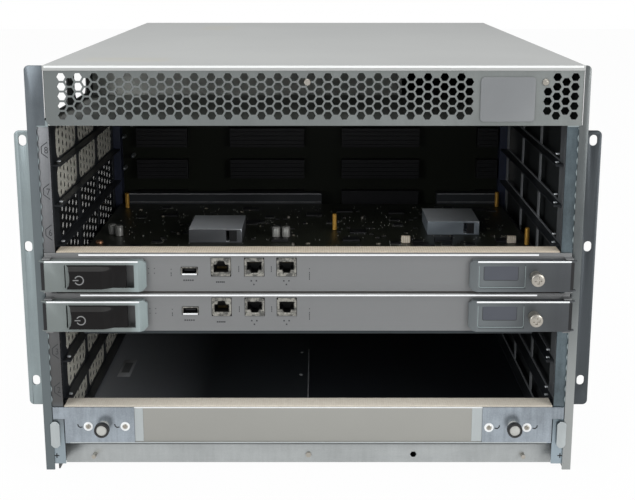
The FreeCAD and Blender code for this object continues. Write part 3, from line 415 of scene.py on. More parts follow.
def rounded(low, high, radius=0.0, steps=4):
    """A rectangle whose corners are quarter circles of one radius."""
    (left, bottom), (right, top) = low, high
    if radius <= 0:
        return np.array([(left, bottom), (right, bottom), (right, top), (left, top)])
    turn = np.linspace(0, math.pi / 2, steps + 1)
    corner = np.stack([np.cos(turn), np.sin(turn)], -1) * radius
    runs = []
    for quarter, (x, z) in enumerate(((right, top), (left, top), (left, bottom), (right, bottom))):
        cos, sin = math.cos(quarter * math.pi / 2), math.sin(quarter * math.pi / 2)
        inset = radius * np.array([cos - sin, sin + cos])
        runs.append(corner @ np.array([[cos, sin], [-sin, cos]]) + (np.array([x, z]) - inset))
    return np.concatenate(runs)


def plate_on(face, low, high, proud=0.00008, sunk=0.0002, rim=0.00005, radius=0.0):
    """A thin plate on an upright face: a rectangle that stands proud of it and is sunk in it."""
    return slab(rounded(low, high, radius), face - proud, face + sunk, rim=rim)


def lengths(rows):
    return np.linalg.norm(rows, axis=1, keepdims=True)


def carried(path, width, low, high, closed=False, axis="y"):
    """A flat band: a rectangle is carried along the path, mitred where the path turns."""
    ahead = np.roll(path, -1, 0) - path
    behind = path - np.roll(path, 1, 0)
    if not closed:
        ahead[-1], behind[0] = behind[-1], ahead[0]
    ahead = ahead / lengths(ahead)
    along = ahead + behind / lengths(behind)
    along = along / lengths(along)
    side = np.stack([-along[:, 1], along[:, 0]], -1)
    reach = width / 2 / np.maximum((along * ahead).sum(1, keepdims=True), 0.4)
    left, right = path + side * reach, path - side * reach
    ring = [laid(left, low, axis), laid(right, low, axis), laid(right, high, axis), laid(left, high, axis)]
    points = np.stack(ring, 1).reshape(-1, 3)
    faces = grid_faces(len(path), 4, close_rows=closed)
    if not closed:
        faces += [[0, 1, 2, 3], [len(points) - 4 + k for k in range(4)]]
    return points, faces


def turned(profile, centre=(0.0, 0.0, 0.0), axis="y", steps=32):
    """A turned piece: (radius, place) pairs carried round an axis through the centre."""
    profile = np.asarray(profile)
    angle = np.linspace(0, 2 * math.pi, steps, endpoint=False)
    radius, place = profile[:, :1], profile[:, 1:]
    plane = np.stack([radius * np.cos(angle), radius * np.sin(angle)], -1)
    return laid(plane, place, axis).reshape(-1, 3) + np.asarray(centre), grid_faces(len(profile), steps)


def tiled(part, offsets):
    """Copies of one part, one for each offset."""
    points, faces = part
    offsets = np.asarray(offsets, dtype=float).reshape(-1, 1, 3)
    count = len(points)
    copies = [[k + copy * count for k in face] for copy in range(len(offsets)) for face in faces]
    return (points[None] + offsets).reshape(-1, 3), copies


def made(name, parts, material, body, smooth=35, outward=True, instead=None):
    """One object of several parts, welded, facing outwards, riding on a body. It may stand
    instead of a CAD node."""
    points, faces, count = [], [], 0
    for part_points, part_faces in parts:
        points.append(part_points)
        faces += [[k + count for k in face] for face in part_faces]
        count += len(part_points)
    mesh = bpy.data.meshes.new(name)
    mesh.from_pydata(np.concatenate(points), [], faces)
    skin = bmesh.new()
    skin.from_mesh(mesh)
    bmesh.ops.remove_doubles(skin, verts=skin.verts, dist=0.0000005)
    bmesh.ops.dissolve_degenerate(skin, edges=skin.edges, dist=0.0000005)
    if outward:
        bmesh.ops.recalc_face_normals(skin, faces=skin.faces)
    skin.to_mesh(mesh)
    skin.free()
    for polygon in mesh.polygons:
        polygon.use_smooth = True
    mesh.set_sharp_from_angle(angle=math.radians(smooth))
    mesh.materials.append(material)
    piece = bpy.data.objects.new(name, mesh)
    bpy.context.scene.collection.objects.link(piece)
    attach(piece, body)
    if instead:
        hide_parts(instead)


# A near-white strip along the cover's front hem: painted highlight.
cover_hem = coat("cover_hem", (0.80, 0.81, 0.79), (0.92, 0.93, 0.91), (30.0, 3.0), (0.35, 0.1),
                 (900.0, 2.0), depth=0.00002)
made("cover_hem", [plate_on(
    cover_low.y,
    (cover_low.x + 0.0015, cover_high.z - 0.0019),
    (cover_high.x - 0.0015, cover_high.z - 0.0002),
    sunk=0.0003,
    rim=0.0001,
    radius=0.0004,
)], cover_hem, "chassis")

black_print = coat("black_print", (0.008, 0.009, 0.010), (0.035, 0.037, 0.04), (400.0, 3.0), (0.55, 0.1))
bright_spring = coat("bright_spring", (0.70, 0.74, 0.76), (0.90, 0.93, 0.95), (300.0, 2.0), (0.25, 0.1),
                     "cloud", depth=0.00002, Metallic=0.5)
strip_low, strip_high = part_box("left_slot_strip")
right_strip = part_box("right_slot_strip")
slot_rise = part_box("blade5_faceplate")[0].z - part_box("blade4_faceplate")[0].z
slot_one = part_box("blade4_faceplate")[0].z - 0.0003 - 3 * slot_rise
flange_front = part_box("left_front_flange")[0].y


def slot_z(slots):
    """The height that so many slots above the foot of slot 1 come to."""
    return slot_one + slots * slot_rise


half_mark = np.array([(0.0050, 0.0065), (0.0, 0.0026), (0.0, -0.0026), (0.0050, -0.0065)])
marks, digits = [], []
for number in (8, 7, 6, 3, 2):
    centre = np.array([strip_high.x - 0.0066, slot_z(number - 0.5) - 0.0012])
    marks.append(carried(half_mark + centre, 0.0007, strip_low.y - 0.00004, strip_low.y + 0.0001))
    letter = bpy.data.curves.new("digit", "FONT")
    letter.body = str(number)
    letter.size = 0.0078
    letter.extrude = 0.00005
    letter.align_x = "CENTER"
    holder = bpy.data.objects.new("digit", letter)
    bpy.context.scene.collection.objects.link(holder)
    bpy.context.view_layer.update()
    flat = bpy.data.meshes.new_from_object(holder)
    bpy.data.objects.remove(holder)
    drawn = np.empty(len(flat.vertices) * 3)
    flat.vertices.foreach_get("co", drawn)
    across, up, out = drawn.reshape(-1, 3).T
    standing = np.stack([across * 0.85 + centre[0] + 0.0038, strip_low.y - out, up + centre[1] - 0.0028], -1)
    digits.append((standing, [list(face.vertices) for face in flat.polygons]))
made("slot_marks", marks, black_print, "chassis")
made("slot_numbers", digits, black_print, "chassis")

finger = turned(
    [(0.0, -0.0006), (0.0006, -0.0005), (0.00095, 0.0), (0.00095, 0.0007), (0.0, 0.0007)], steps=10)
finger_pitch, finger_sway = 0.0094, 0.0007
finger_spots, ribbons = [], []
for x, sign in ((strip_low.x + 0.0046, 1), (right_strip[1].x - 0.0046, -1)):
    for low_slot, high_slot in ((1.0, 3.0), (5.06, 8.0)):
        bottom, top = slot_z(low_slot), min(slot_z(high_slot), strip_high.z)
        crests = np.arange(bottom + 0.003, top - 0.001, finger_pitch)
        finger_spots += [(x - sign * finger_sway, flange_front + 0.0009, z) for z in crests]
        heights = np.linspace(bottom, top, 12 * len(crests))
        sway = -sign * finger_sway * np.cos(2 * math.pi * (heights - crests[0]) / finger_pitch)
        path = np.stack([x + sway, heights], -1)
        ribbons.append(carried(path, 0.0013, flange_front + 0.0006, flange_front + 0.0013))
made("spring_ribbons", ribbons, ears["left"], "chassis")
made("spring_fingers", [tiled(finger, finger_spots)], bright_spring, "chassis", smooth=60)
for (side, sign), edge in zip(sides, (strip_high.x, right_strip[0].x)):
    tab = rounded((0.0, strip_high.z - 0.0012), (0.0115, strip_high.z + 0.0042), 0.0008)
    tab[:, 0] = edge + sign * tab[:, 0]
    made(f"{side}_top_tab", [slab(tab, flange_front + 0.0006, flange_front + 0.0014)], ears["left"],
         "chassis")


# ------------------------------------------------------------------ card cage lining
# Black pressed linings with a window beside every slot, black rails under every slot with
# a bright spring clip at the mouth, and dark blue painted posts at the back.

dress(black_cage, "left_card_guide", "card_rails")
# The right lining is painted near black at the front and paler further back.
lining = Finish("lining_paler_to_back")
lining_cloud = lining.noise(16.0, 4.0, 0.65)
dress(lining.surface(
    height=lining.noise(700.0, 2.0),
    depth=0.00004,
    Base_Color=lining.mix(
        lining.mix((0.055, 0.060, 0.065), (0.11, 0.118, 0.125), lining_cloud),
        lining.mix((0.24, 0.255, 0.27), (0.40, 0.41, 0.42), lining_cloud),
        lining.passed(lining.axis("Y"), -0.30, -0.16)),
    Roughness=0.38 + lining_cloud * 0.15,
), "right_card_guide")
post_paint = coat("post_paint", (0.022, 0.028, 0.055), (0.045, 0.055, 0.10), (30.0, 3.0), (0.35, 0.1),
                  (900.0, 2.0))
dress(post_paint, "backplane_posts")

guide_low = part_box("left_card_guide")[0]
clip = slab(rounded((-0.0016, -0.0007), (0.0016, 0.0007), 0.0006, 2), 0.0, 0.0030, rim=0.0004)
clip_spots = [
    (x, guide_low.y + 0.0035, slot_z(number - 1) + rise)
    for number in (2, 3, 6, 7, 8)
    for x, rises in ((guide_low.x + 0.0060, (0.0022,)), (-guide_low.x - 0.0060, (0.0014, 0.0086)))
    for rise in rises
]
made("rail_clips", [tiled(clip, clip_spots)], bright_spring, "chassis", smooth=60)


# ------------------------------------------------------------------ intake screen
# Sheet pierced in staggered columns of long holes, riveted in the left wall. Dark filter
# cloth lies behind its upper and lower rows; a thinner cloth lets daylight through between.
# There the sheet itself is painted near black: painted shade of the sheet against the light.

screen_low, screen_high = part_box("intake_screen")
columns = 20
hole_pitch = (screen_high.y - screen_low.y) / columns
hole_rise = 0.0074
rows = int((screen_high.z - screen_low.z) / hole_rise) - 1
turn = np.linspace(0, 2 * math.pi, 8, endpoint=False) + math.pi / 8
hole = np.stack([np.cos(turn) * 0.0047, np.sin(turn) * 0.0028], -1)
cell_edge = np.stack([np.sign(np.cos(turn)) * hole_pitch / 2, np.sign(np.sin(turn)) * hole_rise / 2], -1)
cell_edge[[0, 3, 4, 7], 1] *= 0.36
sheet_depth = screen_high.x - screen_low.x
cell = np.concatenate([
    laid(ring, depth, "x")
    for ring, depth in ((cell_edge, 0.0), (hole, 0.0), (hole, sheet_depth), (cell_edge, sheet_depth))])
cell_spots = [
    (screen_low.x, screen_low.y + (column + 0.5) * hole_pitch,
     screen_low.z + (row + 0.75 + 0.5 * (column % 2)) * hole_rise)
    for column in range(columns) for row in range(rows)]
backlit_shade_slots, cloth_slots = (2.95, 6.0), ((0.0, 2.95), (6.0, 8.0))
screen_metal = coat(
    "screen_metal", (0.80, 0.78, 0.68), (0.98, 0.96, 0.86), (60.0, 3.0), (0.5, 0.1), (900.0, 2.0),
    ((0.014, 0.015, 0.016), lambda finish: finish.band(finish.axis("Z"), *map(slot_z, backlit_shade_slots), 0.002)),
    Metallic=0.2)
made("pierced_screen", [tiled((cell, grid_faces(4, 8)), cell_spots)], screen_metal, "chassis",
     instead="intake_screen")
filter_cloth = coat("filter_cloth", (0.012, 0.012, 0.012), (0.035, 0.035, 0.034), (700.0, 3.0), 0.9, "cloud",
                    depth=0.0003)


def behind_screen(bottom, top):
    """A sheet of cloth stretched behind the screen, between two heights."""
    outline = rounded((screen_low.y + 0.004, max(bottom, screen_low.z + 0.003)),
                      (screen_high.y - 0.004, min(top, screen_high.z - 0.003)), 0.003)
    return slab(outline, screen_low.x - 0.0006, screen_low.x - 0.0001, "x", 0.0001)


made("filter_cloth", [behind_screen(slot_z(low), slot_z(high)) for low, high in cloth_slots], filter_cloth,
     "chassis")
open_cloth = coat("open_cloth", (0.30, 0.29, 0.25), (0.42, 0.41, 0.36), (900.0, 2.0), (0.85, 0.1), Alpha=0.56)
made("thin_cloth", [behind_screen(slot_z(2.97), slot_z(5.98))], open_cloth, "chassis")


# ------------------------------------------------------------------ cage floor
# Two lacquered sheets meet in a bright worn seam, with two rivets near it. A bare plate is
# stuck on at the left.

floor_low, floor_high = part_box("cage_floor")
worn_seam = coat("worn_seam", (0.16, 0.165, 0.17), (0.50, 0.51, 0.52), (120.0, 3.0), (0.45, 0.1))
seam = rounded((seam_x - 0.0005, floor_low.y + 0.03), (seam_x + 0.0005, floor_low.y + 0.250))
rivet = turned([(0.0, 0.0008), (0.0012, 0.0007), (0.0019, 0.0), (0.0, 0.0)], axis="z", steps=12)
rivet_spots = [(-0.0088, floor_low.y + y, floor_high.z) for y in (0.170, 0.240)]
made("floor_seam", [slab(seam, floor_high.z - 0.0002, floor_high.z + 0.0003, "z", 0.0001),
                    tiled(rivet, rivet_spots)], worn_seam, "chassis")
stuck = Finish("stuck_plate")
plate_x, plate_y = floor_low.x + 0.020, floor_low.y + 0.164
field = stuck.band(stuck.axis("X"), plate_x + 0.0025, plate_x + 0.0105, 0.0004)
field = field * stuck.band(stuck.axis("Y"), plate_y + 0.012, plate_y + 0.042, 0.0006)
stuck_plate = stuck.surface(
    Base_Color=stuck.mix((0.62, 0.63, 0.65), (0.20, 0.205, 0.21), field),
    Roughness=0.5 + stuck.noise(90.0, 3.0) * 0.1,
)
made("floor_plate", [slab(rounded((plate_x, plate_y), (plate_x + 0.013, plate_y + 0.052), 0.001),
                          floor_high.z, floor_high.z + 0.0002, "z", 0.0001)], stuck_plate, "chassis")


# ------------------------------------------------------------------ backplane
# A thick olive board across the back of the cage. Every slot has four ribbed black
# sockets on it, and bright guide pins stand at its left end.

board = Finish("board_lacquer")
board_cloud = board.noise(35.0, 4.0)
tracks = board.waves("X", 220.0, 6.0, Detail=2.0, Detail_Scale=0.6)
board_lacquer = board.surface(
    height=tracks,
    depth=0.00005,
    Base_Color=board.mix(
        board.mix((0.019, 0.021, 0.016), (0.038, 0.041, 0.028), board_cloud),
        (0.058, 0.062, 0.044), tracks * 0.35),
    Roughness=0.3 + board_cloud * 0.15,
)
dress(board_lacquer, "blade5_board", "blade4_board")
plane_lacquer = coat("backplane_lacquer", (0.0055, 0.0075, 0.0036), (0.012, 0.0155, 0.0075), (25.0, 4.0),
                     (0.5, 0.15), (300.0, 2.0), depth=0.00004, Specular_IOR_Level=0.25)
dress(plane_lacquer, "backplane")
socket_plastic = coat("socket_plastic", (0.009, 0.009, 0.010), (0.020, 0.020, 0.023), (80.0, 3.0),
                      (0.4, 0.15), (1200.0, 2.0), Specular_IOR_Level=0.3)
dress(socket_plastic, "backplane_sockets")
back_low, back_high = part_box("backplane")
socket_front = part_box("backplane_sockets")[0].y
open_bays = (0, 1, 2, 5, 6, 7)
rib_rises = (0.0040, 0.0085, 0.0130, 0.0175)
rib_spots = [(0.0, socket_front - 0.0008, slot_z(bay) + rise) for bay in open_bays for rise in rib_rises]
ribs = []
for left, right in ((-0.885, -0.626), (-0.408, -0.031), (0.161, 0.555), (0.85, 0.955)):
    outline = rounded((back_high.x * left + 0.001, -0.0005), (back_high.x * right - 0.001, 0.0005))
    ribs.append(tiled(slab(outline, 0.0, 0.0012), rib_spots))
made("socket_ribs", ribs, socket_plastic, "chassis")
pin = turned([(0.0, -0.014), (0.0012, -0.0132), (0.0022, -0.011), (0.0022, 0.0), (0.0, 0.0)], steps=14)
pin_spots = [
    (back_low.x + x, back_low.y, slot_z(bay) + rise)
    for bay in open_bays for x, rise in ((0.0200, 0.0255), (0.0105, 0.0120))]
made("guide_pins", [tiled(pin, pin_spots)], tab_zinc, "chassis")


# ------------------------------------------------------------------ control blades
# Each blade has a folded, painted faceplate with a conductive gasket along its top, a zinc
# tray under its board, and two ejector levers. They're painted or plated before assembly.

face = Finish("blade_paint")
face_cloud = face.noise(9.0, 4.0, 0.6)
blade_paint = face.surface(
    height=face.noise(1800.0, 2.0),
    depth=0.00004,
    Base_Color=face.mix(
        face.mix((0.182, 0.182, 0.179), (0.215, 0.215, 0.212), face_cloud),
        (0.18, 0.19, 0.20), face.noise(2.2, 2.0) * 0.5),
    Metallic=0.2,
    Roughness=0.42 + face_cloud * 0.1,
)
# The right lever's zinc is painted much darker than the left's, and each lever lighter towards its inner end:
# painted shade and painted light.
levers = {
    "left": zinc("left_lever_zinc", (0.285, 0.34, 0.34), 0.08, 0.38, metallic=0.2,
                 painted_light_fades=(("X", -0.149, -0.140, (0.158, 0.178, 0.172)),)),
    "right": zinc("right_lever_zinc", (0.050, 0.055, 0.060), 0.10, 0.38, metallic=0.2,
                  painted_light_fades=(("X", 0.139, 0.205, (0.125, 0.14, 0.145)),)),
}
# Near-white: the painted highlight along the top edges of faceplates, levers and the filler panel, and the
# bright flat port lip and filler washers.
highlight_and_bright_metal = coat("highlight_and_bright_metal", (0.86, 0.88, 0.88), (0.98, 0.99, 0.99), (500.0, 2.0), (0.3, 0.1), "cloud",
                    depth=0.00002, Metallic=0.3)


def woven(name, low, high):
    """Gasket cloth: mottled from low to high, with two crossed waves of paler thread on it."""
    finish = Finish(name)
    weave = finish.waves("X", 160.0, 0.6) * 1.0
    weave = finish.waves("Y", 160.0, 0.6) * weave
    mottled = finish.mix(low, high, finish.noise(300.0, 4.0))
    return finish.surface(
        height=weave,
        depth=0.0002,
        Base_Color=finish.mix(mottled, (1.0, 0.93, 0.80), weave * 0.7),
        Roughness=0.8,
    )


gasket_cloth = woven("gasket_cloth", (0.60, 0.50, 0.38), (0.92, 0.80, 0.63))
# Blade 4's gasket cloth is painted dark: painted shade of the gap under blade 5.
shaded_gasket_cloth = coat("shaded_gasket_cloth", (0.055, 0.046, 0.035), (0.13, 0.11, 0.085), (300.0, 4.0), (0.8, 0.1),
                    "cloud", depth=0.0002)
nickel = coat("nickel", (0.34, 0.32, 0.28), (0.50, 0.47, 0.42), (200.0, 3.0), (0.24, 0.12), "cloud",
              depth=0.00002, Metallic=0.9)
tray_zinc = zinc("tray_zinc", (0.34, 0.36, 0.37), 0.1, 0.4)
# A near-black plate stands at the outer end of each lever, where its front plate stops short of
# the bent side: painted shade of the gap there, so far in from the end on the left, and so far
# on the right.
gap_painted_shade = coat("lever_gap", (0.004, 0.004, 0.005), (0.012, 0.012, 0.013), (600.0, 2.0), (0.6, 0.2))
gap_inset = {"left": 0.0031, "right": 0.0039}
edge_inner, edge_outer = 0.1395, 0.2162
for slot in (5, 4):
    blade = f"blade{slot}"
    softened(f"{blade}_faceplate", 0.0004, 3, blade_paint)
    for side, _ in sides:
        softened(f"{blade}_{side}_lever", 0.0005, 3, levers[side])
    dress(nickel, f"{blade}_pivot_pins")
    dress(gasket_cloth if slot == 5 else shaded_gasket_cloth, f"{blade}_gasket")
    dress(tray_zinc, f"{blade}_tray")
    dress(black_cage, f"{blade}_plugs")
    face_low, face_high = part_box(f"{blade}_faceplate")
    line_ends = (face_low.x + 0.0302, face_high.x - 0.0290)
    # A painted highlight: a near-white strip along the faceplate's top edge, and one along each lever's top
    # edge.
    made(f"{blade}_top_highlight", [plate_on(
        face_low.y, (line_ends[0], face_high.z - 0.0003), (line_ends[1], face_high.z + 0.0010))],
        highlight_and_bright_metal, blade)
    for side, sign in sides:
        lever = f"{blade}_{side}_lever"
        low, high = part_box(lever)
        ends = sorted((sign * edge_inner, sign * edge_outer))
        made(f"{lever}_edge", [plate_on(low.y, (ends[0], high.z - 0.0014), (ends[1], high.z - 0.00005))],
             highlight_and_bright_metal, lever)
        gap = rounded((-0.0013, low.z + 0.0014), (0.0013, high.z - 0.0015), 0.0005)
        gap[:, 0] += (low.x if side == "left" else high.x) - sign * gap_inset[side]
        made(f"{lever}_gap", [slab(gap, low.y - 0.00006, low.y + 0.0002, rim=0.00005)], gap_painted_shade, lever)

face_low, face_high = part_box("blade4_faceplate")
lip = rounded((face_low.x + 0.030, face_low.z - 0.0030), (face_high.x - 0.030, face_low.z + 0.0006), 0.0006)
lip_paint = coat("tray_lip_paint", (0.011, 0.017, 0.021), (0.017, 0.025, 0.030), (60.0, 3.0), (0.55, 0.1))
made("blade4_tray_lip", [slab(lip, face_low.y + 0.010, face_low.y + 0.0112)], lip_paint, "blade4")


# ------------------------------------------------------------------ ports
# Plated shells stand a little proud of each faceplate. Three have a stepped mouth for a
# latched plug, the first turned over, with gilt contacts inside; one is a flat mouth.

port_plastic = coat("port_plastic", (0.003, 0.003, 0.003), (0.010, 0.010, 0.010), (900.0, 2.0), (0.5, 0.1))
gilt = coat("gilt", (0.09, 0.065, 0.025), (0.17, 0.125, 0.05), (300.0, 2.0), (0.3, 0.1), Metallic=0.9)
plating = Finish("port_shell")
plating_cloud = plating.noise(260.0, 3.0, 0.7)
bright_spots = plating.passed(plating_cloud, 0.42, 0.60)
port_shell = plating.surface(
    height=plating_cloud,
    Base_Color=plating.mix((0.095, 0.094, 0.088), (0.33, 0.32, 0.285), bright_spots),
    Metallic=0.6,
    Roughness=0.34 + plating_cloud * 0.12,
)


def port(centre, half, mouth, front, back):
    """A shell whose outer rectangle is reached from the mouth's outline along rays from its
    centre; the mouth's walls are carried back to a closed end. Returns metal and plastic."""
    outer = mouth / np.maximum(np.abs(mouth / np.asarray(half)).max(1, keepdims=True), 0.000001)
    lip = front + 0.0006
    metal_rings = (
        (outer, back), (outer, front + 0.0003), (outer * 0.985, front), (mouth * 1.10, front), (mouth, lip))
    plastic_rings = ((mouth, lip), (mouth, back), (mouth * 0.02, back))
    return [
        (np.concatenate([laid(ring + np.asarray(centre), depth) for ring, depth in rings]),
         grid_faces(len(rings), len(mouth)))
        for rings in (metal_rings, plastic_rings)
    ]


def sampled(corners, steps=6):
    """The outline through the corners, with equal steps along every side."""
    ends = np.roll(corners, -1, 0)
    share = np.linspace(0, 1, steps, endpoint=False)[None, :, None]
    return (corners[:, None] * (1 - share) + ends[:, None] * share).reshape(-1, 2)


def disc(radius, steps=20, centre=(0.0, 0.0), start=0.0, sweep=2 * math.pi):
    """Points on a circle, or on an arc where the sweep is less than a turn."""
    closed = sweep >= 2 * math.pi
    angle = start + np.linspace(0, sweep, steps, endpoint=not closed)
    return np.stack([np.cos(angle), np.sin(angle)], -1) * radius + np.asarray(centre)


def printed(shape):
    """A flat printed mark, of a plane shape."""
    return slab(shape, -0.00002, 0.0002, rim=0.00005)


latch_mouth = np.array([
    (-0.0060, -0.0022), (-0.0036, -0.0022), (-0.0024, -0.0050), (0.0024, -0.0050), (0.0036, -0.0022),
    (0.0060, -0.0022), (0.0060, 0.0044), (-0.0060, 0.0044),
])
flat_mouth = np.array([(-0.0058, -0.0021), (0.0058, -0.0021), (0.0058, 0.0023), (-0.0058, 0.0023)])
contact = slab(rounded((-0.00025, -0.0012), (0.00025, 0.0012)), 0.0, 0.0004, rim=0.0001)
flat_x, jacks = -0.0984, ((-0.0722, True), (-0.0446, False), (-0.0178, False))
# Lamp windows and plain printed ticks and squares stand beside the ports, each at so far
# across the row and so far above the faceplate's foot.
lamp_dots = [(x, z) for x in (-0.1310, -0.1262) for z in (0.0178, 0.0218)]
lamp_dots += [(-0.1125, 0.0212), (0.0012, 0.0216)]
ticks = [(-0.1125, 0.0160), (-0.1125, 0.0178)] + [(0.0012, z) for z in (0.0128, 0.0146, 0.0164, 0.0182)]
ticks += [(x, z) for x in (-0.0569, -0.0301) for z in (0.0195, 0.0213, 0.0231)]
squares = [(x + dx, 0.0098 + dz) for x in (-0.0446, -0.0178)
           for dx, dz in ((-0.0021, 0.0015), (0.0021, 0.0015), (0.0, -0.0016))]
squares += [(-0.0722 + dx, 0.0103) for dx in (-0.0030, -0.0015, 0.0, 0.0015, 0.0030)]
squares += [(flat_x + dx, 0.0118) for dx in (-0.0036, -0.0018, 0.0, 0.0018, 0.0036)]
face_marks = (
    (printed(disc(0.00042, 10)), lamp_dots),
    (printed(rounded((-0.0003, -0.0007), (0.0003, 0.0007))), ticks),
    (printed(rounded((-0.0006, -0.0006), (0.0006, 0.0006))), squares),
)
for slot in (5, 4):
    blade = f"blade{slot}"
    port_low, port_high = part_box(f"{blade}_ports")
    face_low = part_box(f"{blade}_faceplate")[0]
    middle = face_low.z + 0.0209
    metal, plastic, contacts = [], [], []
    for x, turned_over in jacks:
        outline = sampled(latch_mouth * (1, -1) if turned_over else latch_mouth)
        shell, mouth = port((x, middle), (0.0081, 0.0078), outline, port_low.y, port_high.y - 0.001)
        metal.append(shell)
        plastic.append(mouth)
        rise = -0.0028 if turned_over else 0.0028
        contacts.append(tiled(contact, [
            (x + step * 0.00102, port_low.y + 0.010, middle + rise) for step in np.arange(-3.5, 4)]))
    shell, mouth = port((flat_x, face_low.z + 0.0176), (0.0068, 0.0033), sampled(flat_mouth),
                        port_low.y, port_high.y - 0.001)
    metal.append(shell)
    plastic.append(mouth)
    made(f"{blade}_port_shells", metal, port_shell, blade, outward=False, instead=f"{blade}_ports")
    made(f"{blade}_port_mouths", plastic, port_plastic, blade, outward=False)
    made(f"{blade}_port_contacts", contacts, gilt, blade)
    made(f"{blade}_port_lip", [plate_on(
        port_low.y, (-0.1046, face_low.z + 0.0142), (-0.0922, face_low.z + 0.0155),
        0.0003, 0.0003, 0.0002, 0.0003)], highlight_and_bright_metal, blade)
    made(f"{blade}_port_tongue", [plate_on(
        port_low.y, (-0.1030, face_low.z + 0.0172), (-0.0938, face_low.z + 0.0184), -0.0030, 0.0120, 0.0002)],
        socket_plastic, blade)
    made(f"{blade}_face_print", [
        tiled(mark, [(x, face_low.y - 0.00006, face_low.z + z) for x, z in spots])
        for mark, spots in face_marks
    ], black_print, blade)


# ------------------------------------------------------------------ blade boards
# Lacquered boards carry two tinned cans, black chips in several sizes, barrel capacitors,
# amber coils, copper pads and outlines printed in pale ink. All are soldered on flat.

# Tops painted near white and sides dark, the right-hand can's sides paler than the left's: painted light and
# shade.
can = Finish("can_tin")
can_cloud = can.noise(40.0, 4.0)
can_sides_painted_shade = can.mix(
    can.mix((0.098, 0.102, 0.108), (0.126, 0.131, 0.139), can_cloud),
    can.mix((0.25, 0.285, 0.32), (0.31, 0.35, 0.39), can_cloud), can.axis("X") > 0.05)
can_tin = can.surface(
    height=can.noise(900.0, 2.0),
    Base_Color=can.mix(
        can_sides_painted_shade, can.mix((0.76, 0.79, 0.82), (0.92, 0.95, 0.98), can_cloud), can.facing("Z") > 0.4),
    Metallic=0.2,
    Roughness=0.42 + can_cloud * 0.1,
)
chip_resin = coat("chip_resin", (0.008, 0.008, 0.009), (0.024, 0.024, 0.026), (1100.0, 3.0), (0.4, 0.1),
                  "cloud")
small_chip = Finish("small_chip_resin")
small_grain = small_chip.noise(150.0, 2.0)
small_resin = small_chip.surface(
    Base_Color=small_chip.mix((0.02, 0.02, 0.02), (0.30, 0.28, 0.22), small_grain > 0.56),
    Roughness=0.45 + small_grain * 0.1,
)
coil = Finish("amber_coil")
coil_rings = coil.waves("Z", 320.0, 0.2)
amber_coil = coil.surface(
    height=coil_rings,
    depth=0.0001,
    Base_Color=coil.mix((0.42, 0.21, 0.03), (0.85, 0.50, 0.10), coil_rings),
    Metallic=0.5,
    Roughness=0.35 + coil_rings * 0.1,
)
barrel_sleeve = coat("barrel_sleeve", (0.30, 0.30, 0.28), (0.50, 0.50, 0.47), (120.0, 3.0), (0.35, 0.1),
                     Metallic=0.4)
pale_ink = coat("pale_ink", (0.30, 0.31, 0.28), (0.62, 0.63, 0.58), (600.0, 3.0), (0.6, 0.1))
copper_pad = coat("copper_pad", (0.60, 0.28, 0.14), (0.85, 0.50, 0.30), (300.0, 3.0), (0.3, 0.15),
                  Metallic=0.8)

near = flange_front
# The two cans' places, with a margin, as left, front, right and back from the flanges.
cans = ((-0.115, 0.134, -0.061, 0.200), (0.112, 0.167, 0.166, 0.233))
chip_sizes = ((0.016, 0.013, 0.0018, 16), (0.009, 0.007, 0.0015, 30), (0.004, 0.003, 0.0012, 90))
leg_count = 260
leg = slab(rounded((-0.0002, -0.0008), (0.0002, 0.0008)), 0.0, 0.0007, "z", 0.0001)
# Parts that stand on the board: what each is called, its shape, its places and its finish.
standing_parts = (
    ("coils", turned([(0.0, 0.0165), (0.0016, 0.0165), (0.0022, 0.0158), (0.0022, 0.0004), (0.0, 0.0)],
                     axis="z", steps=16),
     ((-0.1950, 0.295), (0.0246, 0.190), (0.2000, 0.301), (0.2030, 0.1275)), amber_coil),
    ("barrels", turned([(0.0, 0.0102), (0.0030, 0.0102), (0.0037, 0.0097), (0.0038, 0.0086), (0.0036, 0.0080),
                        (0.0038, 0.0074), (0.0038, 0.0004), (0.0, 0.0)], axis="z", steps=20),
     ((-0.0318, 0.160), (-0.0222, 0.160), (-0.1830, 0.165), (-0.1905, 0.172)), barrel_sleeve),
    ("copper_pads", turned([(0.0, 0.0024), (0.0026, 0.0023), (0.0034, 0.0017), (0.0036, 0.0), (0.0, 0.0)],
                           axis="z", steps=20), ((-0.1970, 0.1355),), copper_pad),
    ("pale_blocks", slab(rounded((-0.0042, -0.002), (0.0042, 0.002), 0.0004), 0.0, 0.0068, "z", 0.0004),
     ((0.0906, 0.1355), (0.1900, 0.1355)), gasket_cloth),
    ("board_studs", turned([(0.0, 0.0022), (0.0012, 0.0020), (0.0018, 0.0012), (0.0018, 0.0), (0.0, 0.0)],
                           axis="z", steps=12),
     ((-0.1270, 0.172), (-0.0220, 0.248), (0.0540, 0.245), (-0.0150, 0.128)), nickel),
)
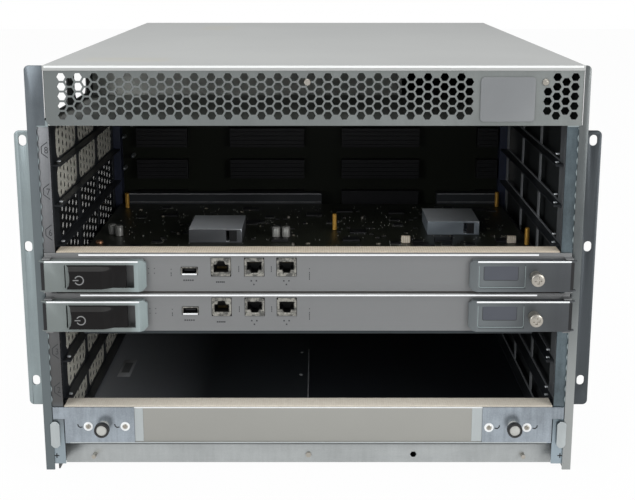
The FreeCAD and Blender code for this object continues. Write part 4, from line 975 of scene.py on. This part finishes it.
for slot in (5, 4):
    blade = f"blade{slot}"
    softened(f"{blade}_cans", 0.0003, 2, can_tin)
    board_low, board_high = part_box(f"{blade}_board")
    top = board_high.z
    across = (board_low.x + 0.012, board_high.x - 0.012)
    rng = np.random.default_rng(41)
    chips, ink, small = [], [], []
    for wide, deep, tall, count in chip_sizes:
        spot_x = rng.uniform(*across, count)
        spot_y = rng.uniform(near + 0.115, near + 0.300, count)
        for x, y in zip(spot_x, spot_y):
            if any(left - wide < x < right + wide and low - deep < y - near < high + deep
                   for left, low, right, high in cans):
                continue
            outline = rounded((x - wide / 2, y - deep / 2), (x + wide / 2, y + deep / 2))
            (small if count == 90 else chips).append(slab(outline, top, top + tall, "z", 0.00025))
            if count == 30:
                path = outline + np.sign(outline - (x, y)) * 0.0008
                ink.append(carried(path, 0.00045, top, top + 0.00005, True, "z"))
    made(f"{blade}_chips", chips, chip_resin, blade)
    made(f"{blade}_small_chips", small, small_resin, blade)
    leg_x = rng.uniform(*across, leg_count)
    leg_y = rng.choice(near + np.linspace(0.125, 0.300, 24), leg_count)
    clear = np.ones(leg_count, dtype=bool)
    for left, low, right, high in cans:
        clear &= ~((leg_x > left) & (leg_x < right) & (leg_y - near > low) & (leg_y - near < high))
    ink.append(tiled(leg, np.stack([leg_x, leg_y, np.full(leg_count, top)], -1)[clear]))
    made(f"{blade}_board_print", ink, pale_ink, blade)
    for kind, shape, spots, finish in standing_parts:
        made(f"{blade}_{kind}", [tiled(shape, [(x, near + y, top) for x, y in spots])], finish, blade)
    plug_low, plug_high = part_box(f"{blade}_plugs")
    plug_ends = ((plug_low.x, plug_low.x + 0.2095), (plug_high.x - 0.0662, plug_high.x))
    line_heights = (
        (plug_high.z - 0.0014, plug_high.z - 0.0004),
        (plug_low.z + 0.0050, plug_low.z + 0.0056),
    )
    made(f"{blade}_plug_lines", [
        plate_on(plug_low.y, (left + 0.0006, foot), (right - 0.0006, head), 0.0002, 0.0003, 0.0001)
        for left, right in plug_ends for foot, head in line_heights
    ], worn_seam, blade)
    can_low, can_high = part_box(f"{blade}_cans")
    made(f"{blade}_can_patches", [
        plate_on(y, (right - 0.0110, top + 0.0010), (right - 0.0040, top + 0.0112), 0.0001, 0.0002, 0.0001)
        for right, y in ((-0.0640, can_low.y), (0.1630, can_high.y - 0.062))
    ], chip_resin, blade)


# ------------------------------------------------------------------ sliding switches
# A glossy black moulding rides in the left lever: a raised thumb block with a scooped end,
# a ramp behind it, and a ring and bar printed in white on its face.

# Faces that look upward are painted a lighter grey: painted light on the top of the moulding.
switch = Finish("switch_plastic")
switch_cloud = switch.noise(60.0, 3.0)
switch_plastic = switch.surface(
    height=switch.noise(1500.0, 2.0),
    Base_Color=switch.mix(
        switch.mix((0.004, 0.0035, 0.0035), (0.009, 0.008, 0.008), switch_cloud),
        (0.030, 0.029, 0.028), switch.facing("Z") > 0.35),
    Roughness=0.42 + switch_cloud * 0.1,
    Specular_IOR_Level=0.16,
)
white_print = coat("white_print", (0.16, 0.16, 0.16), (0.26, 0.26, 0.26), (500.0, 3.0), (0.5, 0.1))
half_height, thumb_rise, scoop, grip_depth = 0.0096, 0.0057, 0.0034, 0.0026
for slot in (5, 4):
    blade = f"blade{slot}"
    switch_low, switch_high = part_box(f"{blade}_switch")
    lever_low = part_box(f"{blade}_left_lever")[0]
    middle = (switch_low.z + switch_high.z) / 2
    # The front is a grid over x and height: it stands full height from the scooped end, falls
    # along a ramp to the sunk grip, dishes there, and leans back above a shoulder line.
    across = np.linspace(0, 1, 40)[:, None]
    rise = np.linspace(-1, 1, 25)[None]
    left = -0.1986 + scoop * np.sqrt(np.maximum(1 - 0.98 * rise**2, 0))
    x = left + (-0.1496 - left) * across
    height = np.broadcast_to(middle + half_height * rise, x.shape)
    thumb = thumb_rise * np.clip((-0.1612 - x) / 0.0080, 0, 1) ** 0.8
    lean = np.clip((1.0 - rise) / 0.42, 0.30, 1)
    dish = 0.0011 * np.clip(1 - ((x + 0.1555) / 0.0058) ** 2, 0, 1) * (1 - rise**2)
    front = np.stack([x, switch_high.y - grip_depth - thumb * lean + dish, height], -1)
    rim = np.concatenate([front[:, 0], front[-1, 1:], front[-2::-1, -1], front[0, -2:0:-1]])
    back = rim * (1, 0, 1) + (0, switch_high.y, 0)
    walls = np.concatenate([rim, back, np.repeat(back.mean(0, keepdims=True), len(rim), 0)])
    made(f"{blade}_switch_block", [
        (front.reshape(-1, 3), grid_faces(40, 25, close_columns=False)), (walls, grid_faces(3, len(rim))),
    ], switch_plastic, f"{blade}_switch", smooth=32, instead=f"{blade}_switch")
    centre = np.array([-0.1873, middle - 0.0020])
    thumb_face = switch_high.y - grip_depth - thumb_rise
    ring = disc(0.0036, 22, centre, math.pi + 0.5, 2 * math.pi - 1.0)
    bar = np.array([centre + (-0.0052, 0.0), centre + (-0.0004, 0.0)])
    made(f"{blade}_switch_print", [
        carried(path, 0.0009, thumb_face - 0.00005, thumb_face + 0.0002) for path in (ring, bar)
    ], white_print, f"{blade}_switch")
    # The lever's plate bulges into the scooped end of the thumb block.
    sweep = np.linspace(-1, 1, 13)
    bulge = np.stack([-0.1989 + scoop * np.sqrt(1 - 0.98 * sweep**2), middle + 0.0097 * sweep], -1)
    outline = np.concatenate([bulge, [(-0.2002, middle + 0.0097), (-0.2002, middle - 0.0097)]])
    made(f"{blade}_window_lip", [slab(outline, lever_low.y, lever_low.y + 0.0008, rim=0.0001)],
         levers["left"], f"{blade}_left_lever")


# ------------------------------------------------------------------ thumbscrews and labels
# The right lever holds a bare lavender-grey label in a shallow pressed recess, and a
# captive thumbscrew with a domed head and a cross recess.


def cross_head(centre, radius, rise, depth=0.0007, shank=0.0, steps=40, rings=14):
    """A domed head on a polar grid: its height is a circle's cap, less the recess wherever
    the point is within either arm of a cross; the rim is carried back by the shank."""
    share = np.linspace(0, 1, rings)[:, None]
    angle = np.linspace(0, 2 * math.pi, steps, endpoint=False)[None]
    x, z = radius * share * np.cos(angle), radius * share * np.sin(angle)
    arm, reach = radius * 0.17, radius * 0.55
    inside = np.minimum(np.maximum(np.abs(x), np.abs(z)) < reach, np.minimum(np.abs(x), np.abs(z)) < arm)
    height = -rise * np.sqrt(np.maximum(1 - (share**2) * 0.96, 0)) * np.ones_like(angle) + depth * inside
    front = np.stack([x, height, z], -1)
    back = front[-1:].copy()
    back[..., 1] += shank + rise * 0.2
    end = back * np.array([0.0, 1.0, 0.0])
    points = np.concatenate([front, back, end]).reshape(-1, 3)
    return points + np.asarray(centre), grid_faces(rings + 2, steps)


def open_tray(left, right, foot, top, cut):
    """A line down one side, along the foot and up the other side, with cut corners."""
    return np.array([(left, top), (left, foot + cut), (left + cut, foot),
                     (right - cut, foot), (right, foot + cut), (right, top)])


bare_label = coat("bare_label", (0.056, 0.062, 0.078), (0.070, 0.076, 0.092), (70.0, 3.0), (0.4, 0.1),
                  (1500.0, 2.0), depth=0.00001)
for slot in (5, 4):
    screw, lever = f"blade{slot}_thumbscrew", f"blade{slot}_right_lever"
    lever_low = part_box(lever)[0]
    screw_low, screw_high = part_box(screw)
    centre = ((screw_low.x + screw_high.x) / 2, screw_low.y, (screw_low.z + screw_high.z) / 2)
    radius = (screw_high.x - screw_low.x) / 2
    length = screw_high.y - screw_low.y
    knurl = turned([
        (radius * 0.93, 0.0012), (radius, 0.0018), (radius, 0.0052), (radius * 0.94, 0.0058),
        (radius * 0.76, 0.0062), (radius * 0.76, length - 0.0016), (radius * 0.84, length - 0.0010),
        (radius * 0.84, length), (0.0, length),
    ], centre, steps=40)
    dome = cross_head(
        (centre[0], centre[1] + 0.0012, centre[2]), radius * 0.95, 0.0011, 0.0011, steps=64, rings=26)
    made(f"{screw}_head", [dome, knurl], nickel, screw, smooth=40, instead=screw)
    floor_y, foot = lever_low.y + 0.0006, lever_low.z
    made(f"blade{slot}_label", [plate_on(
        floor_y, (0.1446, foot + 0.0099), (0.1729, foot + 0.0217), 0.0001, 0.0001, radius=0.0012)],
        bare_label, lever)
    label_line = open_tray(0.1446, 0.1729, foot + 0.0099, foot + 0.0215, 0.0009)
    made(f"blade{slot}_label_line", [carried(label_line, 0.0004, floor_y - 0.00014, floor_y)],
         black_print, lever)
    # The rim round the recess is drawn in the left lever's lighter zinc: a painted highlight on the dark
    # right lever.
    recess_rim_highlight = open_tray(0.1407, 0.1786, foot + 0.0040, foot + 0.0220, 0.0010)
    made(f"blade{slot}_recess_rim_highlight", [
        carried(recess_rim_highlight, 0.0004, lever_low.y - 0.00008, lever_low.y + 0.0001)], levers["left"], lever)


# ------------------------------------------------------------------ slot 1 filler
# A painted panel between two bluish zinc brackets, each with two rivets in plain washers
# and hooked slots, and a captive knob with a black rubber ring round a bright core.

filler_paint = coat("filler_paint", (0.305, 0.30, 0.275), (0.345, 0.34, 0.312), (8.0, 4.0, 0.6), (0.5, 0.1),
                    (1800.0, 2.0), depth=0.00004)
bracket_zinc = zinc("bracket_zinc", (0.325, 0.365, 0.405), 0.28, 0.3)
knob_rubber = coat("knob_rubber", (0.008, 0.008, 0.008), (0.020, 0.020, 0.020), (90.0, 3.0), (0.45, 0.15),
                   (1500.0, 2.0), depth=0.00004)
knob_core = coat("knob_core", (0.46, 0.46, 0.43), (0.60, 0.60, 0.57), (200.0, 3.0), (0.4, 0.1), "cloud",
                 Metallic=0.3)
softened("filler_panel", 0.0004, 3, filler_paint)
softened("filler_brackets", 0.0004, 3, bracket_zinc)
dress(woven("filler_cloth", (0.80, 0.71, 0.58), (1.0, 0.93, 0.81)), "filler_gasket")
panel_low, panel_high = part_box("filler_panel")
bracket_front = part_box("filler_brackets")[0].y
washers, hooks, heads = [], [], []
washer = turned([(0.0, -0.0006), (0.0034, -0.0006), (0.0040, -0.0004), (0.0040, 0.0), (0.0, 0.0)], steps=24)
for x, rise in ((-0.1883, 0.0157), (-0.1567, 0.0157), (0.1546, 0.0146), (0.1870, 0.0146)):
    spot = np.array([x, bracket_front, panel_low.z + rise])
    washers.append((washer[0] + spot, washer[1]))
    heads.append(cross_head(spot + (0.0, -0.0005, 0.0), 0.0023, 0.0007, 0.0005, steps=24, rings=8))
    hook = np.array([(0.0050, -0.0006), (0.0072, -0.0010), (0.0086, 0.0002), (0.0090, 0.0020)])
    hook[:, 0] *= -1 if x < 0 else 1
    hook += (x, panel_low.z + rise)
    hooks.append(carried(hook, 0.0010, bracket_front - 0.00008, bracket_front + 0.0002))
made("filler_washers", washers, highlight_and_bright_metal, "filler")
made("filler_screws", heads, nickel, "filler", smooth=40)
made("filler_hooks", hooks, black_print, "filler")
made("filler_bands", [
    plate_on(
        panel_low.y, (left, panel_low.z + 0.0016), (right, panel_high.z - 0.0012), 0.0003, 0.0001, 0.0001)
    for left, right in ((-0.1488, -0.1414), (0.1399, 0.1488))
], tab_zinc, "filler")
line_left, line_right = panel_low.x + 0.004, panel_high.x - 0.004
# A painted highlight along the panel's top edge.
made("filler_top_highlight", [plate_on(
    panel_low.y, (line_left, panel_high.z - 0.0010), (line_right, panel_high.z - 0.0001), 0.0001)],
    highlight_and_bright_metal, "filler")
made("filler_bottom_edge", [plate_on(
    bracket_front, (line_left, panel_low.z + 0.0001), (line_right, panel_low.z + 0.0012), 0.0001, 0.0004)],
    tab_zinc, "filler")
for side, _ in sides:
    knob = f"filler_{side}_knob"
    knob_low, knob_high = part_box(knob)
    centre = ((knob_low.x + knob_high.x) / 2, knob_low.y, (knob_low.z + knob_high.z) / 2)
    radius = (knob_high.x - knob_low.x) / 2
    depth = knob_high.y - knob_low.y
    ring = turned([
        (radius * 0.72, 0.0012), (radius * 0.74, 0.0003), (radius * 0.86, 0.0), (radius * 0.97, 0.0005),
        (radius, 0.0016), (radius, 0.0052), (radius * 0.94, 0.0060), (radius * 0.70, 0.0060),
    ], centre, steps=40)
    core = turned([
        (0.0, 0.0006), (radius * 0.55, 0.0007), (radius * 0.70, 0.0011), (radius * 0.72, 0.0056),
        (radius * 0.62, 0.0060), (radius * 0.62, depth * 0.75), (radius * 0.70, depth * 0.78),
        (radius * 0.70, depth), (0.0, depth),
    ], centre, steps=40)
    made(f"{knob}_ring", [ring], knob_rubber, knob, smooth=50, instead=knob)
    made(f"{knob}_core", [core], knob_core, knob, smooth=40)


# ------------------------------------------------------------------ chassis fasteners
# Two domed screws hold the grille, and nickel studs stand in the bottom bar. A small black
# cross marks the foot of each slot strip.

dress(nickel, "chassis_screws")
grille_low, grille_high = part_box("front_grille")
made("grille_screws", [
    cross_head((x, grille_low.y - 0.0004, 0.3334), 0.0028, 0.0014, 0.0005)
    for x in (-0.0003, grille_high.x - 0.0304)
], nickel, "chassis", smooth=40)
for side, sign in sides:
    low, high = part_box(f"{side}_slot_strip")
    spot = ((low.x + high.x) / 2 + sign * 0.0004, low.z + 0.0075)
    made(f"{side}_strip_star", [
        slab(rounded((-wide, -tall), (wide, tall)) + spot, low.y - 0.0001, low.y + 0.0002, rim=0.00005)
        for wide, tall in ((0.0022, 0.0005), (0.0005, 0.0022))
    ], black_print, "chassis")


# ------------------------------------------------------------------ rear modules
# Two power supplies below and two blowers above, in painted steel cases held by captive
# screws. A supply has a moulded pull and a mains inlet; a blower has a wire guard.


def looking(part, across, along):
    """The part turned about the upright axis, from facing the front to facing (across, along)."""
    points, faces = part
    x, y, z = points.T
    return np.stack([-along * x - across * y, across * x - along * y, z], -1), faces


case_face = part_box("blower_left")[1].y
case = Finish("module_case")
case_cloud = case.noise(14.0, 4.0, 0.6)
case_paint = case.surface(
    height=case.noise(1100.0, 2.0),
    depth=0.00004,
    Base_Color=case.mix(
        case.mix((0.25, 0.26, 0.265), (0.31, 0.32, 0.325), case_cloud),
        (0.022, 0.05, 0.062), case.axis("Y") > case_face + 0.0004),
    Metallic=0.15,
    Roughness=0.42 + case_cloud * 0.12,
)
impeller_resin = coat("impeller_resin", (0.012, 0.012, 0.013), (0.028, 0.028, 0.030), (60.0, 3.0),
                      (0.38, 0.12))
green_lens = coat("green_lens", (0.02, 0.22, 0.06), (0.05, 0.38, 0.12), (500.0, 2.0), (0.2, 0.1))
case_screw = looking(
    cross_head((0.0, 0.0, 0.0), 0.0036, 0.0014, 0.0006, shank=0.0010, steps=24, rings=10), 0, 1)
lens = looking(turned([(0.0, -0.0012), (0.0009, -0.0010), (0.0015, -0.0004), (0.0015, 0.0004), (0.0, 0.0004)],
                      steps=14), 0, 1)
cap = looking(turned([(0.0, -0.0042), (0.0225, -0.0042), (0.0245, -0.0030), (0.0250, 0.0), (0.0, 0.0)],
                     steps=40), 0, 1)
inlet_blade = slab(rounded((-0.0011, -0.0021), (0.0011, 0.0021)), 0.0, 0.0120)
section = np.linspace(0, 2 * math.pi, 9)
screw_inset, wire, guard_reach = 0.0072, 0.0011, 0.0930
arm_turns = (0.25, 0.75, 1.25, 1.75)
arm_ways = [np.array([math.cos(turn * math.pi), math.sin(turn * math.pi)]) for turn in arm_turns]
for side, _ in sides:
    supply, blower = f"power_supply_{side}", f"blower_{side}"
    softened(supply, 0.0005, 2, case_paint)
    softened(blower, 0.0004, 2, case_paint)
    softened(f"impeller_{side}", 0.0005, 2, impeller_resin)
    for module in (supply, blower):
        case_low, case_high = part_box(module)
        corners = [(x, case_face + 0.0010, z) for x in (case_low.x + screw_inset, case_high.x - screw_inset)
                   for z in (case_low.z + screw_inset, case_high.z - screw_inset)]
        made(f"{module}_screws", [tiled(case_screw, corners)], nickel, module, smooth=40)
        lens_spots = [(case_low.x + 0.022 + step, case_face, case_high.z - 0.0085) for step in (0.0, 0.008)]
        made(f"{module}_lamps", [tiled(lens, lens_spots)], green_lens, module, smooth=60)

    # Mains inlet: a black rim stands round the opening and three blades stand inside it.
    case_low, case_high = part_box(supply)
    x, z = case_low.x + 0.0318, (case_low.z + case_high.z) / 2
    rim = rounded((x - 0.0146, z - 0.0108), (x + 0.0146, z + 0.0108), 0.0025)
    backing = rounded((x - 0.0136, z - 0.0098), (x + 0.0136, z + 0.0098))
    made(f"{supply}_inlet", [
        carried(rim, 0.0026, case_face - 0.0004, case_face + 0.0016, closed=True),
        slab(backing, case_face - 0.0158, case_face - 0.0148),
    ], socket_plastic, supply)
    blade_spots = [(x + right, case_face - 0.0150, z + rise)
                   for right, rise in ((-0.007, -0.002), (0.007, -0.002), (0.0, 0.003))]
    made(f"{supply}_inlet_blades", [tiled(inlet_blade, blade_spots)], nickel, supply)

    # Wire guard over the slats: rings of round wire on four arms, each clamped by its own
    # small screw, and a plain cap at the middle.
    case_low, case_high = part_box(blower)
    hub = ((case_low.x + case_high.x) / 2, (case_low.z + case_high.z) / 2)
    guard = [
        turned(np.stack([radius + wire * np.cos(section), wire * np.sin(section)], -1),
               (hub[0], case_face + 0.0030, hub[1]), steps=48)
        for radius in (0.0360, 0.0500, 0.0640, 0.0760)
    ]
    for way in arm_ways:
        arm = np.array([hub + way * 0.0230, hub + way * guard_reach])
        guard.append(carried(arm, 0.0024, case_face + 0.0010, case_face + 0.0030))
    made(f"{blower}_guard", guard, nickel, blower, smooth=60)
    made(f"{blower}_cap", [tiled(cap, [(hub[0], case_face, hub[1])])], impeller_resin, blower, smooth=40)
    feet = [
        (hub[0] + way[0] * guard_reach, case_face + 0.0032, hub[1] + way[1] * guard_reach)
        for way in arm_ways]
    made(f"{blower}_guard_screws", [tiled(case_screw, feet)], nickel, blower, smooth=40)

# Screws along the cover's rear edge, and rivets along both walls.
cover_width = cover_high.x - cover_low.x
cover_screws = [(cover_low.x + share * cover_width, cover_high.y + 0.0010, cover_high.z - 0.018)
                for share in (0.04, 0.27, 0.5, 0.73, 0.96)]
made("cover_screws", [tiled(case_screw, cover_screws)], nickel, "chassis", smooth=40)
rivet_head = turned([(0.0, -0.0007), (0.0012, -0.0006), (0.0021, 0.0), (0.0, 0.0002)], steps=12)
rivets = []
for side, sign in sides:
    low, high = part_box(f"{side}_side_wall")
    outside = low.x if side == "left" else high.x
    spots = [(outside, low.y + 0.045 + step * 0.070, 0.0085) for step in range(8)]
    spots += [(outside, high.y - 0.010, 0.045 + step * 0.052) for step in range(6)]
    rivets.append(tiled(looking(rivet_head, sign, 0), spots))
made("wall_rivets", rivets, tab_zinc, "chassis", smooth=60)


# ------------------------------------------------------------------ floor, light and camera
# A plain white table that glows for the lens, three large soft lamps and a pale surround
# that is white to the lens and a little blue to everything else.

stage = Finish("white_table")
rays = [stage.node("ShaderNodeLightPath", output=index) for index in (0, 3, 6)]
seen = stage.node("ShaderNodeMath", {0: rays[0] + rays[1] + rays[2], 1: 1.0}, operation="MINIMUM")
matt = stage.node("ShaderNodeBsdfDiffuse", {
    "Color": stage.mix((0.80, 0.80, 0.80), (0.82, 0.82, 0.82), stage.noise(3.0))})
glow = stage.node("ShaderNodeEmission", {"Color": (1.0, 1.0, 1.0, 1.0), "Strength": 1.0})
stage.node("ShaderNodeOutputMaterial", {
    "Surface": stage.node("ShaderNodeMixShader", {0: seen * 0.97, 1: matt, 2: glow})})
top = bpy.data.meshes.new("table")
top.from_pydata([(-6.0, -6.0, 0.0), (6.0, -6.0, 0.0), (6.0, 6.0, 0.0), (-6.0, 6.0, 0.0)], [], [(0, 1, 2, 3)])
top.materials.append(stage.owner)
table = bpy.data.objects.new("table", top)
bpy.context.scene.collection.objects.link(table)

sky = Finish("surround", "worlds")
bpy.context.scene.world = sky.owner
direct = sky.node("ShaderNodeMath", {
    0: sky.node("ShaderNodeLightPath", output=0), 1: sky.node("ShaderNodeLightPath", output=6),
}, operation="MAXIMUM")
pale = sky.node("ShaderNodeBackground", {"Color": (0.95, 0.97, 1.0, 1.0), "Strength": 0.45})
white = sky.node("ShaderNodeBackground", {"Color": (1.0, 1.0, 1.0, 1.0), "Strength": 1.0})
shown = sky.node("ShaderNodeMixShader", {0: direct, 1: pale, 2: white})
sky.node("ShaderNodeOutputWorld", {"Surface": shown})


def lamp(name, spot, aim, size, power, colour=(1.0, 1.0, 1.0)):
    """A soft lamp that faces a point."""
    data = bpy.data.lights.new(name, "AREA")
    data.shape = "RECTANGLE"
    data.size, data.size_y = size
    data.energy = power
    data.color = colour
    holder = bpy.data.objects.new(name, data)
    bpy.context.scene.collection.objects.link(holder)
    holder.location = spot
    away = holder.location - type(holder.location)(aim)
    holder.rotation_euler = away.to_track_quat("Z", "Y").to_euler()


lamp("lamp_over", (0.0, -0.3, 2.4), (0.0, 0.0, 0.2), (2.4, 2.0), 36.0)
lamp("lamp_left", (-1.5, -1.9, 0.95), (0.0, 0.0, 0.15), (1.2, 1.2), 17.0, (0.97, 0.99, 1.0))
lamp("lamp_right", (1.3, -1.7, 0.75), (-0.15, 0.0, 0.2), (0.9, 0.9), 12.5)

lens_data = bpy.data.cameras.new("camera")
lens_data.sensor_width = 36.0
lens_data.lens = 68.3
lens_data.clip_start = 0.01
lens_data.clip_end = 50.0
camera = bpy.data.objects.new("camera", lens_data)
bpy.context.scene.collection.objects.link(camera)
camera.location = (0.00784, flange_front - 0.9655, 0.4328)
camera.rotation_euler = (math.pi / 2 - 0.241, 0.0, 0.0)
bpy.context.scene.camera = camera
bpy.context.scene.view_settings.view_transform = "Standard"
